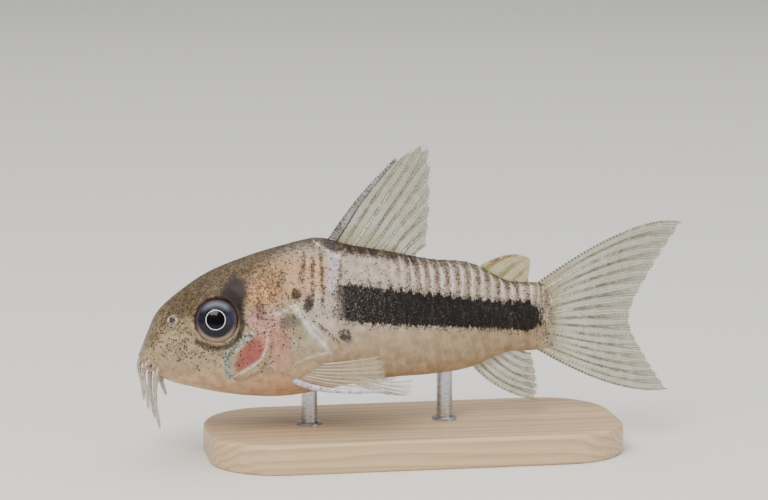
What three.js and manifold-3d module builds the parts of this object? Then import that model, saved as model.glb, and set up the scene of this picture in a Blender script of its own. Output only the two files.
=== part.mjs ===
// A corydoras catfish, 55 mm long, hovering nose-down over the bottom, held on a low display stand.
// Millimetres, +Z up, head towards -X, the fish's left side towards -Y. The origin is under the middle of the stand.
import * as THREE from "three";
import { mergeVertices } from "three/addons/utils/BufferGeometryUtils.js";
import Module from "manifold-3d";

const wasm = await Module();
wasm.setup();

// Driving dimensions
const GAP = 0.3; // between two pieces that meet
const FIN_THICKNESS = 0.5; // membrane between the rays
const RAY_RAISE = 0.13; // a ray stands this far proud of each face of its membrane
const PLATE_PITCH = 1.04; // from one bony flank plate to the next
const PLATE_RAISE = 0.2; // rear edge of each plate above the front edge of the next
const PLATE_COUNT = 22; // in each row, from the nape to the tail root
const FIRST_PLATE_X = -9.6; // front edge of the first plate, at mid flank
const TAIL_FROM_PLATE = 14; // the tail node starts behind this plate
const GILL_X = -12.9; // gill opening at mid height, where the head ends
const EYE_RADIUS = 2.5;
const EYE_THICKNESS = 3.3;
const STAND_TOP = 3.0; // upper face of the stand's base
const SIDE_STEPS = 16; // facets from belly to back on one side
const RIGHT_ANGLE = Math.PI / 2;

// Sections from snout to tail root. top and under are [x, z] on the midline; half is the half width;
// widest is the height of the widest line as a share of the depth; arch and floor are how full the
// upper and lower curves are, 2 being round, less more keeled and more flatter.
const SECTIONS = [
  { top: [-27.63, 10.75], under: [-27.55, 10.15], half: 0.75, widest: 0.5, arch: 2.0, floor: 2.0 },
  { top: [-27.31, 11.49], under: [-26.87, 9.6], half: 1.8, widest: 0.48, arch: 2.1, floor: 2.1 },
  { top: [-26.7, 12.98], under: [-25.99, 8.85], half: 2.55, widest: 0.45, arch: 2.2, floor: 2.3 },
  { top: [-25.71, 14.96], under: [-24.7, 8.05], half: 3.2, widest: 0.42, arch: 2.2, floor: 2.5 },
  { top: [-23.71, 16.76], under: [-22.61, 7.45], half: 3.8, widest: 0.41, arch: 2.2, floor: 2.6 },
  { top: [-20.71, 18.73], under: [-20.11, 6.88], half: 4.4, widest: 0.41, arch: 2.15, floor: 2.7 },
  { top: [-17.0, 20.18], under: [-17.1, 6.44], half: 4.95, widest: 0.4, arch: 2.05, floor: 2.8 },
  { top: [-13.19, 21.28], under: [-13.57, 6.29], half: 5.3, widest: 0.4, arch: 1.9, floor: 2.9 },
  { top: [-9.67, 21.94], under: [-10.03, 6.68], half: 5.25, widest: 0.44, arch: 1.7, floor: 2.9 },
  { top: [-6.44, 21.15], under: [-6.47, 7.22], half: 4.85, widest: 0.49, arch: 1.65, floor: 2.8 },
  { top: [-2.39, 20.35], under: [-2.59, 7.66], half: 4.2, widest: 0.51, arch: 1.7, floor: 2.6 },
  { top: [1.69, 19.46], under: [1.72, 7.8], half: 3.4, widest: 0.51, arch: 1.75, floor: 2.4 },
  { top: [5.79, 18.95], under: [5.63, 8.28], half: 2.6, widest: 0.51, arch: 1.8, floor: 2.2 },
  { top: [9.5, 17.09], under: [9.24, 9.65], half: 1.85, widest: 0.5, arch: 1.9, floor: 2.0 },
  { top: [12.5, 16.75], under: [12.35, 9.81], half: 1.25, widest: 0.5, arch: 2.0, floor: 2.0 },
  { top: [14.16, 16.35], under: [14.22, 10.05], half: 0.8, widest: 0.5, arch: 2.0, floor: 2.0 },
];
const LAST = SECTIONS.length - 1;

const v3 = (x, y, z) => new THREE.Vector3(x, y, z);
const clamp = THREE.MathUtils.clamp;
const smooth = (x, from, to) => THREE.MathUtils.smoothstep(x, from, to);
const mix = THREE.MathUtils.lerp;
const curve = (points) => new THREE.CatmullRomCurve3(points, false, "catmullrom", 0.5);

const topLine = curve(SECTIONS.map((c) => v3(c.top[0], 0, c.top[1])));
const underLine = curve(SECTIONS.map((c) => v3(c.under[0], 0, c.under[1])));
const girth = curve(SECTIONS.map((c) => v3(c.half, c.widest, 0)));
const fullness = curve(SECTIONS.map((c) => v3(c.arch, c.floor, 0)));

// The section at place s, where s runs from 0 at the snout to LAST at the tail root.
function sectionAt(s) {
  const t = clamp(s / LAST, 0, 1);
  const [top, under, g, f] = [topLine, underLine, girth, fullness].map((line) => line.getPoint(t));
  return { top, under, half: g.x, widest: g.y, arch: f.x, floor: f.y };
}

// The place whose section crosses mid height at x.
function placeAtX(x) {
  let [low, high] = [0, LAST];
  for (let i = 0; i < 32; i++) {
    const mid = (low + high) / 2;
    const c = sectionAt(mid);
    if ((c.top.x + c.under.x) / 2 < x) low = mid;
    else high = mid;
  }
  return low;
}

// A point of the skin: angle is -90 degrees on the belly, 0 on the widest line and +90 on the back;
// side is -1 for the fish's left and +1 for its right; lift moves it out along the section's normal.
function skinPoint(s, angle, side, lift = 0) {
  const c = sectionAt(s);
  const power = 2 / (angle >= 0 ? c.arch : c.floor);
  const out = Math.pow(Math.max(Math.cos(angle), 0), power);
  const rise = Math.pow(Math.abs(Math.sin(angle)), power) * Math.sign(angle);
  const up = c.top.clone().sub(c.under);
  const reach = (angle >= 0 ? 1 - c.widest : c.widest) * up.length();
  const axis = up.clone().normalize();
  const point = c.under.clone().addScaledVector(up, c.widest).addScaledVector(axis, rise * reach);
  point.y = side * out * c.half;
  const normal = axis.multiplyScalar(Math.sin(angle) * c.half);
  normal.y = side * Math.cos(angle) * reach;
  return point.addScaledVector(normal.normalize(), lift);
}

// The skin's point and outward normal where a line of sight from the side meets it at x, z.
function flank(x, z, side) {
  let [low, high] = [0, LAST];
  for (let i = 0; i < 40; i++) {
    const mid = (low + high) / 2;
    const c = sectionAt(mid);
    const ahead = (c.top.x - c.under.x) * (z - c.under.z) - (c.top.z - c.under.z) * (x - c.under.x);
    if (ahead < 0) low = mid;
    else high = mid;
  }
  const c = sectionAt(low);
  const share = (z - c.under.z) / (c.top.z - c.under.z);
  const above = share >= c.widest;
  const q = above ? (share - c.widest) / (1 - c.widest) : (c.widest - share) / c.widest;
  const n = above ? c.arch : c.floor;
  return v3(x, side * c.half * Math.pow(Math.max(1 - Math.pow(clamp(q, 0, 1), n), 0), 1 / n), z);
}
function flankNormal(x, z, side) {
  const step = 0.25;
  const along = flank(x + step, z, side).sub(flank(x - step, z, side));
  const up = flank(x, z + step, side).sub(flank(x, z - step, side));
  const normal = along.cross(up).normalize();
  return normal.y * side < 0 ? normal.negate() : normal;
}

// Closed meshes from points
function meshOf(points, faces) {
  const g = new THREE.BufferGeometry().setFromPoints(points);
  g.setIndex(faces);
  return g;
}

// A closed body through rings of equal length, with a fan of triangles over each end.
function loft(rings) {
  const n = rings[0].length;
  const points = rings.flat();
  const faces = [];
  for (let r = 0; r + 1 < rings.length; r++)
    for (let i = 0; i < n; i++) {
      const [a, b] = [r * n + i, r * n + ((i + 1) % n)];
      faces.push(a, b, b + n, a, b + n, a + n);
    }
  const middle = (ring) => ring.reduce((sum, p) => sum.add(p), v3(0, 0, 0)).divideScalar(n);
  const last = (rings.length - 1) * n;
  const [head, tail] = [points.length, points.length + 1];
  points.push(middle(rings[0]), middle(rings.at(-1)));
  for (let i = 0; i < n; i++) {
    const j = (i + 1) % n;
    faces.push(head, j, i, tail, last + i, last + j);
  }
  return meshOf(points, faces);
}

// A thin closed sheet. place(i, j, side) gives its two faces; both are split into triangles alike.
function sheet(columns, rows, place) {
  const points = [];
  for (const side of [1, -1])
    for (let i = 0; i < columns; i++) for (let j = 0; j < rows; j++) points.push(place(i, j, side));
  const back = columns * rows;
  const at = (i, j) => i * rows + j;
  const faces = [];
  for (let i = 0; i + 1 < columns; i++)
    for (let j = 0; j + 1 < rows; j++) {
      const [a, b, c, d] = [at(i, j), at(i + 1, j), at(i + 1, j + 1), at(i, j + 1)];
      faces.push(a, b, c, a, c, d, back + a, back + c, back + b, back + a, back + d, back + c);
    }
  const rim = [];
  for (let i = 0; i < columns; i++) rim.push(at(i, 0));
  for (let j = 1; j < rows; j++) rim.push(at(columns - 1, j));
  for (let i = columns - 2; i >= 0; i--) rim.push(at(i, rows - 1));
  for (let j = rows - 2; j > 0; j--) rim.push(at(0, j));
  rim.forEach((a, k) => {
    const b = rim[(k + 1) % rim.length];
    faces.push(a, back + a, back + b, a, back + b, b);
  });
  return meshOf(points, faces);
}

// A round tube along a curve; radius(t) gives its half thickness.
function tube(line, radius, steps, sides) {
  const frames = line.computeFrenetFrames(steps, false);
  const rings = frames.tangents.map((_, k) => {
    const t = k / steps;
    const centre = line.getPointAt(t);
    return Array.from({ length: sides }, (_, i) => {
      const turn = (2 * Math.PI * i) / sides;
      return centre
        .clone()
        .addScaledVector(frames.normals[k], Math.cos(turn) * radius(t))
        .addScaledVector(frames.binormals[k], Math.sin(turn) * radius(t));
    });
  });
  return loft(rings);
}

// Solids for joining and cutting
function solid(geometry) {
  const plain = new THREE.BufferGeometry().setAttribute("position", geometry.getAttribute("position"));
  if (geometry.index) plain.setIndex(geometry.index);
  const merged = mergeVertices(plain, 1e-4);
  const index = merged.index.array;
  const kept = [];
  for (let i = 0; i < index.length; i += 3) {
    const [a, b, c] = [index[i], index[i + 1], index[i + 2]];
    if (a !== b && b !== c && a !== c) kept.push(a, b, c);
  }
  const made = new wasm.Manifold(
    new wasm.Mesh({
      numProp: 3,
      vertProperties: merged.attributes.position.array,
      triVerts: new Uint32Array(kept),
    }),
  );
  if (made.volume() > 0) return made;
  for (let i = 0; i < kept.length; i += 3) [kept[i], kept[i + 1]] = [kept[i + 1], kept[i]];
  return new wasm.Manifold(
    new wasm.Mesh({
      numProp: 3,
      vertProperties: merged.attributes.position.array,
      triVerts: new Uint32Array(kept),
    }),
  );
}
const largest = (made) => made.decompose().reduce((a, b) => (a.volume() > b.volume() ? a : b));
function geometryOf(made) {
  const mesh = made.getMesh();
  return new THREE.BufferGeometry()
    .setAttribute("position", new THREE.BufferAttribute(new Float32Array(mesh.vertProperties), 3))
    .setIndex(new THREE.BufferAttribute(new Uint32Array(mesh.triVerts), 1));
}
const mirrored = (made) => made.mirror([0, 1, 0]);
const sideOf = (made, side) => (side < 0 ? made : mirrored(made));

// Body: head, trunk and tail are lengths of one form.
const angles = Array.from({ length: SIDE_STEPS + 1 }, (_, i) => -RIGHT_ANGLE + (i * Math.PI) / SIDE_STEPS);

// How far behind its mid-flank place an edge lies at this height: the gill opening leans back
// towards the nape, and each bony plate has a rounded rear edge that starts at the lateral line.
const gillSweep = (height) =>
  height > 0 ? 2.9 * Math.sin(height * RIGHT_ANGLE) ** 1.6 : 1.5 * height;
const plateSweep = (height) =>
  height > 0 ? 0.85 * Math.sin(2.6 * height) : 1.25 * Math.sin(-1.9 * height);
function sweep(x, height) {
  const intoHead = smooth(x, -17, GILL_X);
  const intoTrunk = smooth(x, GILL_X, FIRST_PLATE_X);
  const tailwards = 1 - smooth(x, 12.2, 13.6);
  return mix(gillSweep(height) * intoHead, plateSweep(height) * tailwards, intoTrunk);
}
// A plate's lift fades to nothing at the lateral line, on the back ridge and on the naked belly.
function plateLift(height) {
  const upper = smooth(height, 0.0, 0.07) * (1 - smooth(height, 0.86, 0.97));
  const lower = smooth(-height, 0.0, 0.07) * (1 - smooth(-height, 0.62, 0.76));
  return height > 0 ? upper : lower;
}
function ring(place, raise = 0, grow = 0) {
  const half = (side) =>
    angles.map((angle) => {
      const height = angle / RIGHT_ANGLE;
      return skinPoint(place(height), angle, side, grow + raise * plateLift(height));
    });
  return [...half(-1), ...half(1).slice(1, -1).reverse()];
}
const plain = (s, grow = 0) => ring(() => s, 0, grow);
const swept = (x, raise = 0, grow = 0) => ring((height) => placeAtX(x + sweep(x, height)), raise, grow);

const plateEdge = (k) => FIRST_PLATE_X + k * PLATE_PITCH;
function plateRings(first, last) {
  const step = 0.06; // run of the drop behind a plate's rear edge
  const rings = [];
  for (let k = first; k < last; k++) {
    rings.push(swept(plateEdge(k) + (k === first ? GAP / 2 : step)));
    rings.push(swept(plateEdge(k + 1) - (k === last - 1 ? GAP / 2 : 0), PLATE_RAISE));
  }
  return rings;
}

const SNOUT_PLACES = [0, 0.2, 0.45, 0.75, 1.1, 1.5, 2, 2.5, 3, 3.5, 4, 4.5, 5, 5.5, 5.85];
const headForm = loft([
  ...SNOUT_PLACES.map((s) => plain(s)),
  ...[-16.6, -15.4, -14.2, GILL_X - GAP / 2].map((x) => swept(x)),
]);
const trunkForm = loft([
  swept(GILL_X + GAP / 2),
  swept((GILL_X + FIRST_PLATE_X) / 2),
  ...plateRings(0, TAIL_FROM_PLATE),
]);
const tailForm = loft([...plateRings(TAIL_FROM_PLATE, PLATE_COUNT), plain(LAST - 0.15), plain(LAST)]);

// The whole body grown by the gap, which every fin and feeler is cut clear of.
const clearOf = GAP + 0.07;
const grownPlaces = Array.from({ length: 46 }, (_, i) => (i * LAST) / 45);
const bodyGrown = solid(
  loft([
    ...grownPlaces.map((s) => plain(s, clearOf)),
    plain(LAST, clearOf).map((p) => p.add(v3(clearOf, 0, 0))),
  ]),
);
const trimmed = (made) => largest(made.subtract(bodyGrown));

// A patch that follows the flank: outline(turn) gives its reach from the centre as [dx, dz].
function patch(centre, outline, side, inner, outer, rounds = 3, spokes = 24) {
  const place = (share, turn, lift) => {
    const [dx, dz] = outline(turn);
    const [x, z] = [centre[0] + dx * share, centre[1] + dz * share];
    return flank(x, z, side).addScaledVector(flankNormal(x, z, side), lift);
  };
  const round = (share, lift) =>
    Array.from({ length: spokes }, (_, i) => place(share, (2 * Math.PI * i) / spokes, lift));
  const rings = [];
  for (let k = 1; k <= rounds; k++) rings.push(round(k / rounds, inner));
  for (let k = rounds; k >= 1; k--) rings.push(round(k / rounds, outer(k / rounds)));
  return solid(loft(rings));
}

// An oval lying on the flank, its long axis tilted up from the tailward direction.
function oval({ long, short, tilt, tip = 0 }, grow = 0) {
  return (turn) => {
    const a = (long + grow) * Math.cos(turn);
    const b = (short + grow) * Math.sin(turn) * (1 - tip * Math.cos(turn));
    return [a * Math.cos(tilt) - b * Math.sin(tilt), a * Math.sin(tilt) + b * Math.cos(tilt)];
  };
}

// Gill cover: an oval plate in a shallow recess of the head, its lower end forward.
const GILL_AT = [-16.95, 11.3];
const GILL_COVER = { long: 2.95, short: 1.6, tilt: 0.98 };
const GILL_DEPTH = 0.35;
const gillCover = (side) =>
  patch(GILL_AT, oval(GILL_COVER), side, -GILL_DEPTH, (share) => 0.28 - 0.16 * share ** 4);
const gillRecess = (side) =>
  patch(GILL_AT, oval(GILL_COVER, GAP), side, -GILL_DEPTH - GAP, () => 1.5);

// Eye: a flattened ball whose socket is cut into the head.
const EYE_AT = [-20.4, 14.64];
const EYE_SUNK = 0.9;
function eyeBall(side, grow) {
  const ball = new THREE.SphereGeometry(1, 18, 12);
  ball.scale(EYE_RADIUS + grow, EYE_THICKNESS / 2 + grow, EYE_RADIUS + grow);
  const out = flankNormal(...EYE_AT, side);
  const turn = new THREE.Quaternion().setFromUnitVectors(v3(0, side, 0), out);
  ball.applyQuaternion(turn);
  const at = flank(...EYE_AT, side).addScaledVector(out, -EYE_SUNK);
  ball.translate(at.x, at.y, at.z);
  return solid(ball);
}
// A raised ring round a place on the head, such as the rim of the eye or of a nostril.
function raisedRing(at, side, radius, thick, sides, steps) {
  const hoop = new THREE.TorusGeometry(radius, thick, sides, steps);
  const out = flankNormal(...at, side);
  hoop.applyQuaternion(new THREE.Quaternion().setFromUnitVectors(v3(0, 0, 1), out));
  const centre = flank(...at, side);
  hoop.translate(centre.x, centre.y, centre.z);
  return solid(hoop);
}
const NOSTRIL_AT = [-24.55, 14.5];
const nostrilPit = (side) => {
  const pit = new THREE.SphereGeometry(0.34, 10, 8);
  const at = flank(...NOSTRIL_AT, side).addScaledVector(flankNormal(...NOSTRIL_AT, side), 0.15);
  return solid(pit.translate(at.x, at.y, at.z));
};

// Mouth: two soft lips round a slit under the tip of the snout.
const MOUTH_CORNER = v3(-26.35, -1.75, 9.95);
function lip(front) {
  const other = MOUTH_CORNER.clone().setY(-MOUTH_CORNER.y);
  const half = (y) => v3(mix(MOUTH_CORNER.x, front.x, 0.72), y, mix(MOUTH_CORNER.z, front.z, 0.72));
  const line = curve([MOUTH_CORNER, half(-1.15), front, half(1.15), other]);
  return solid(tube(line, (t) => 0.4 - 0.2 * Math.abs(2 * t - 1) ** 3, 12, 6));
}
const upperLip = lip(v3(-27.4, 0, 10.2));
const lowerLip = lip(v3(-25.95, 0, 8.95));
function mouthSlit() {
  const slit = new THREE.SphereGeometry(1, 14, 8);
  slit.scale(0.75, 1.45, 0.16);
  slit.rotateY(0.7);
  slit.translate(-26.85, 0, 9.5);
  return solid(slit);
}

function makeHead() {
  let head = solid(headForm).add(upperLip).add(lowerLip);
  for (const side of [-1, 1]) {
    head = head.add(raisedRing(EYE_AT, side, EYE_RADIUS - 0.05, 0.3, 6, 22));
    head = head.add(raisedRing(NOSTRIL_AT, side, 0.46, 0.2, 6, 12));
  }
  head = head.subtract(mouthSlit());
  for (const side of [-1, 1])
    for (const cut of [eyeBall(side, GAP), nostrilPit(side), gillRecess(side)]) head = head.subtract(cut);
  return largest(head);
}

// Shoulder plate: the bony shield behind the gill opening, above the root of the pectoral fin.
const SHOULDER_AT = [-11.15, 12.75];
const SHOULDER = { long: 2.9, short: 1.3, tilt: -1.05, tip: -0.25 };
function makeTrunk() {
  const behindHead = solid(loft([GILL_X + GAP / 2, -11.5, -10, -8, -6].map((x) => swept(x, 0, 1))));
  const shield = (side) =>
    patch(SHOULDER_AT, oval(SHOULDER), side, -0.6, (share) => 0.32 - 0.12 * share, 3, 20);
  const shields = shield(-1).add(shield(1)).intersect(behindHead);
  return largest(solid(trunkForm).add(shields));
}

// Fins: a membrane between root, middle and tip lines, with one ridge for each ray.
// The rays' own stems curve from root to tip by way of the middle line.
function fin({ root, middle, tip, rays, rows = 7, spine = 0, notch = 0.045 }) {
  const [rootLine, midLine, tipLine] = [root, middle, tip].map(curve);
  const columns = 2 * rays - 1;
  const at = (u, v) => {
    const [a, b, c] = [rootLine, midLine, tipLine].map((line) => line.getPoint(clamp(u, 0, 1)));
    return a
      .multiplyScalar((1 - v) ** 2)
      .addScaledVector(b, 2 * v * (1 - v))
      .addScaledVector(c, v * v);
  };
  const place = (i, j, side) => {
    const onRay = i % 2 === 0;
    const u = i / (columns - 1);
    const v = (j / (rows - 1)) * (onRay ? 1 : 1 - notch);
    const step = 0.02;
    const across = at(u + step, v).sub(at(u - step, v));
    const along = at(u, Math.min(v + step, 1)).sub(at(u, Math.max(v - step, 0)));
    const normal = across.cross(along).normalize();
    const taper = 1 - 0.55 * smooth(v, 0.45, 1);
    const first = i <= 1 ? spine * (1 - 0.75 * v) : 0;
    const half = (FIN_THICKNESS / 2 + (onRay ? RAY_RAISE : 0) + first) * taper;
    return at(u, v).addScaledVector(normal, side * half);
  };
  return solid(sheet(columns, rows, place));
}
const flat = (points) => points.map(([x, z]) => v3(x, 0, z));

// A fin spine: a stout tapering rod along a bent line, flattened by its fin.
function spineRod(points, thick, point) {
  return solid(tube(curve(points), (t) => mix(thick, point, t), 8, 6));
}

const dorsalSpine = spineRod(flat([[-8.9, 20.6], [-6.85, 23.6], [-4.95, 26.2], [-1.8, 29.65]]), 0.62, 0.22);
const dorsalFin = trimmed(
  fin({
    root: flat([[-8.6, 20.4], [-6.0, 20.1], [-3.5, 19.7], [-0.7, 18.9]]),
    middle: flat([[-5.3, 26.3], [-2.1, 25.4], [-1.0, 23.0], [0.2, 20.4]]),
    tip: flat([[-1.85, 29.6], [1.4, 30.95], [1.75, 25.8], [1.3, 20.9]]),
    rays: 9,
    rows: 8,
  }).add(dorsalSpine),
);

const adiposeSpine = spineRod(flat([[6.4, 17.9], [7.5, 18.75], [9.3, 19.45], [10.7, 19.6]]), 0.36, 0.2);
const adiposeFin = trimmed(
  fin({
    root: flat([[6.5, 17.7], [9.0, 16.4], [11.4, 15.9]]),
    middle: flat([[9.0, 19.85], [10.2, 18.0], [11.9, 17.3]]),
    tip: flat([[11.0, 19.6], [12.0, 19.1], [11.75, 17.0]]),
    rays: 2,
    rows: 7,
    notch: 0,
  }).add(adiposeSpine),
);

const caudalUpper = trimmed(
  fin({
    root: flat([[11.7, 15.9], [13.1, 15.1], [13.5, 13.3]]),
    middle: flat([[23.0, 23.9], [20.0, 18.1], [18.2, 13.3]]),
    tip: flat([[27.75, 22.5], [24.9, 18.1], [22.5, 13.3]]),
    rays: 9,
    rows: 8,
    spine: 0.1,
  }),
);
const caudalLower = trimmed(
  fin({
    root: flat([[12.0, 10.5], [13.1, 11.2], [13.5, 12.75]]),
    middle: flat([[21.2, 4.6], [19.3, 9.2], [18.2, 12.75]]),
    tip: flat([[26.5, 5.35], [24.2, 8.8], [22.5, 12.7]]),
    rays: 8,
    rows: 8,
    spine: 0.1,
  }),
);
const analFin = trimmed(
  fin({
    root: flat([[5.6, 9.2], [7.4, 10.0], [9.5, 10.7]]),
    middle: flat([[8.2, 5.6], [10.2, 6.9], [11.2, 9.5]]),
    tip: flat([[12.9, 4.65], [12.8, 6.9], [12.2, 9.5]]),
    rays: 6,
    rows: 7,
    spine: 0.08,
  }),
);

// Paired fins, on the fish's left; the right ones mirror them.
const pectoralSpine = spineRod(
  [v3(-13.6, -3.9, 8.75), v3(-11.2, -5.9, 8.0), v3(-8.0, -7.4, 7.75), v3(-4.4, -8.4, 7.85)],
  0.46,
  0.24,
);
const pectoralFin = trimmed(
  fin({
    root: [v3(-13.3, -4.0, 8.8), v3(-12.2, -4.3, 9.3), v3(-11.3, -4.4, 9.9)],
    middle: [v3(-9.2, -7.3, 7.7), v3(-8.4, -6.7, 8.9), v3(-7.7, -5.9, 10.3)],
    tip: [v3(-4.5, -8.4, 7.85), v3(-4.2, -7.6, 9.4), v3(-4.5, -6.2, 10.9)],
    rays: 7,
    rows: 7,
  }).add(pectoralSpine),
);
const pelvicFin = trimmed(
  fin({
    root: [v3(-7.3, -1.9, 8.0), v3(-6.7, -2.5, 8.1), v3(-6.3, -3.1, 8.3)],
    middle: [v3(-5.1, -3.0, 6.7), v3(-3.8, -3.7, 6.9), v3(-3.4, -4.0, 7.5)],
    tip: [v3(-2.9, -3.2, 6.35), v3(-1.0, -4.0, 6.5), v3(-0.8, -4.3, 8.0)],
    rays: 5,
    rows: 6,
    spine: 0.06,
  }),
);

// Feelers at the corners of the mouth and on the chin
const feeler = (points, thick, point) =>
  trimmed(solid(tube(curve(points), (t) => mix(thick, point, t ** 0.8), 10, 6)));
const frontFeeler = feeler(
  [v3(-26.3, -1.5, 10.6), v3(-27.3, -2.1, 9.9), v3(-27.5, -2.25, 8.9), v3(-27.15, -2.3, 7.3), v3(-27.0, -2.4, 5.6)],
  0.4,
  0.14,
);
const rearFeeler = feeler(
  [v3(-25.6, -1.6, 10.3), v3(-26.15, -2.5, 9.2), v3(-26.35, -2.6, 8.0), v3(-26.3, -2.5, 6.0), v3(-25.9, -2.6, 3.6)],
  0.42,
  0.14,
);
const chinFeeler = feeler(
  [v3(-25.2, -0.8, 9.4), v3(-25.55, -0.95, 8.3), v3(-25.35, -1.05, 7.5), v3(-25.1, -1.1, 6.7)],
  0.34,
  0.14,
);

// Stand: a low base with rounded ends and two short rods.
const STAND = { length: 42, width: 19, corner: 7, bevel: 0.5 };
const ROD_RADIUS = 0.8;
const ROD_X = { front: -10.6, rear: 3.2 };
const ROD_FOOT = 1.4;
function rodSolid(x, radius, from, to) {
  const rod = new THREE.CylinderGeometry(radius, radius, to - from, 16);
  rod.rotateX(RIGHT_ANGLE).translate(x, 0, (from + to) / 2);
  return solid(rod);
}
function makeBase() {
  const { length, width, corner, bevel } = STAND;
  const [a, b] = [length / 2 - bevel, width / 2 - bevel];
  const shape = new THREE.Shape();
  shape.moveTo(-a + corner, -b).lineTo(a - corner, -b);
  shape.absarc(a - corner, -b + corner, corner, -RIGHT_ANGLE, 0);
  shape.absarc(a - corner, b - corner, corner, 0, RIGHT_ANGLE);
  shape.absarc(-a + corner, b - corner, corner, RIGHT_ANGLE, 2 * RIGHT_ANGLE);
  shape.absarc(-a + corner, -b + corner, corner, 2 * RIGHT_ANGLE, 3 * RIGHT_ANGLE);
  const base = new THREE.ExtrudeGeometry(shape, {
    depth: STAND_TOP - 2 * bevel,
    bevelSize: bevel,
    bevelThickness: bevel,
    bevelSegments: 1,
    curveSegments: 7,
  });
  base.translate(0, 0, bevel);
  return Object.values(ROD_X).reduce(
    (made, x) => made.subtract(rodSolid(x, ROD_RADIUS + GAP, ROD_FOOT - GAP, STAND_TOP + 1)),
    solid(base),
  );
}
const standRod = (x) => trimmed(rodSolid(x, ROD_RADIUS, ROD_FOOT, 9));

// Materials
const finish = (color, roughness, metalness = 0) =>
  new THREE.MeshStandardMaterial({ color, roughness, metalness });
const SKIN = finish(0xc4ab8d, 0.45);
const GILL = finish(0xc9958a, 0.4);
const EYE = finish(0x17161c, 0.12);
const FIN = finish(0xb9b191, 0.5);
const FEELER = finish(0xb9ab98, 0.5);
const WOOD = finish(0xcbb08a, 0.55);
const STEEL = finish(0xb8bbbf, 0.3, 1);

const catfish = new THREE.Group();
function add(name, made, material) {
  const mesh = new THREE.Mesh(geometryOf(made), material);
  mesh.name = name;
  catfish.add(mesh);
}
add("head", makeHead(), SKIN);
add("trunk", makeTrunk(), SKIN);
add("tail", solid(tailForm), SKIN);
add("dorsal_fin", dorsalFin, FIN);
add("adipose_fin", adiposeFin, FIN);
add("caudal_fin_upper_lobe", caudalUpper, FIN);
add("caudal_fin_lower_lobe", caudalLower, FIN);
add("anal_fin", analFin, FIN);
for (const [name, side] of [["left", -1], ["right", 1]]) {
  add("gill_cover_" + name, gillCover(side), GILL);
  add("eye_" + name, eyeBall(side, 0), EYE);
  add("pectoral_fin_" + name, sideOf(pectoralFin, side), FIN);
  add("pelvic_fin_" + name, sideOf(pelvicFin, side), FIN);
  add("front_barbel_" + name, sideOf(frontFeeler, side), FEELER);
  add("rear_barbel_" + name, sideOf(rearFeeler, side), FEELER);
  add("chin_barbel_" + name, sideOf(chinFeeler, side), FEELER);
}
add("stand_base", makeBase(), WOOD);
add("stand_rod_front", standRod(ROD_X.front), STEEL);
add("stand_rod_rear", standRod(ROD_X.rear), STEEL);

export default catfish;
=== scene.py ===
"""A life-size corydoras catfish on a low display stand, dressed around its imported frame.

Lengths in the classes are in millimetres, in the frame's own axes: +X towards the tail, +Y towards the
fish's right and +Z up. Meshes are made in metres. Colours are sRGB, from 0 to 255.
"""

from __future__ import annotations

import logging
import math
import random
from dataclasses import dataclass, field
from enum import Enum

import bpy
import numpy as np
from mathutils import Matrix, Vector


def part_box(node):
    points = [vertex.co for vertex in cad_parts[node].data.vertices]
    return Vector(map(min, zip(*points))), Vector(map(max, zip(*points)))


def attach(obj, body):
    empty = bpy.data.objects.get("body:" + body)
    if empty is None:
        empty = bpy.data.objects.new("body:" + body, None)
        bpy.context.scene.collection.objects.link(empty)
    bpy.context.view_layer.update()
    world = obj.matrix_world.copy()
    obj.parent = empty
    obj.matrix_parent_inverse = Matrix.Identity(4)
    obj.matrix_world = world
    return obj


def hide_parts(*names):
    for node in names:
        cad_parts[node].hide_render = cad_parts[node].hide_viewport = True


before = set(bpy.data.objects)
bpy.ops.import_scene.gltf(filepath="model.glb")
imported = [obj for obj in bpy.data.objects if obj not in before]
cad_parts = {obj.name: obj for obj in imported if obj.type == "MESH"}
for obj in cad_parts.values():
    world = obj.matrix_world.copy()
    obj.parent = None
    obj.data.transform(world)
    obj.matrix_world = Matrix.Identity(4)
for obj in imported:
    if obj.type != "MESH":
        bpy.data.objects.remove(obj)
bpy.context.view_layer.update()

LOG = logging.getLogger("catfish")
MM = 0.001
BODY = "root"

Array = np.ndarray
Colour = tuple[float, float, float]
Face = tuple[int, ...]
Material = bpy.types.Material
Object = bpy.types.Object
Point2 = tuple[float, float]
Point3 = tuple[float, float, float]
Socket = bpy.types.NodeSocket


class Side(Enum):
    """The two sides of the fish, as the sign of Y."""

    LEFT = -1
    RIGHT = 1

    @property
    def word(self) -> str:
        """The side's name, as node names end with it."""
        return self.name.lower()


# Small tools for numbers and curves


def linear(colour: Colour) -> tuple[float, float, float, float]:
    """Turns an sRGB colour of 0 to 255 into the linear colour that shaders use, with an alpha of 1."""
    shares = [c / 255 for c in colour]
    bent = [c / 12.92 if c <= 0.04045 else ((c + 0.055) / 1.055) ** 2.4 for c in shares]
    return (bent[0], bent[1], bent[2], 1.0)


def smooth(value: Array, low: float, high: float) -> Array:
    """Rises smoothly from 0 at low to 1 at high, or falls where low is above high."""
    t = np.clip((value - low) / (high - low), 0, 1)
    return t * t * (3 - 2 * t)


def bell(value: Array, middle: float, width: float) -> Array:
    """Peaks at 1 at the middle and dies away over the width on both sides."""
    return np.exp(-(((value - middle) / width) ** 2))


def unit(vectors: Array) -> Array:
    """Scales vectors to a length of 1."""
    return vectors / np.maximum(np.linalg.norm(vectors, axis=-1, keepdims=True), 1e-12)


def once_round(count: int) -> Array:
    """Gives even angles once round a circle."""
    return np.arange(count) * 2 * math.pi / count


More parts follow.
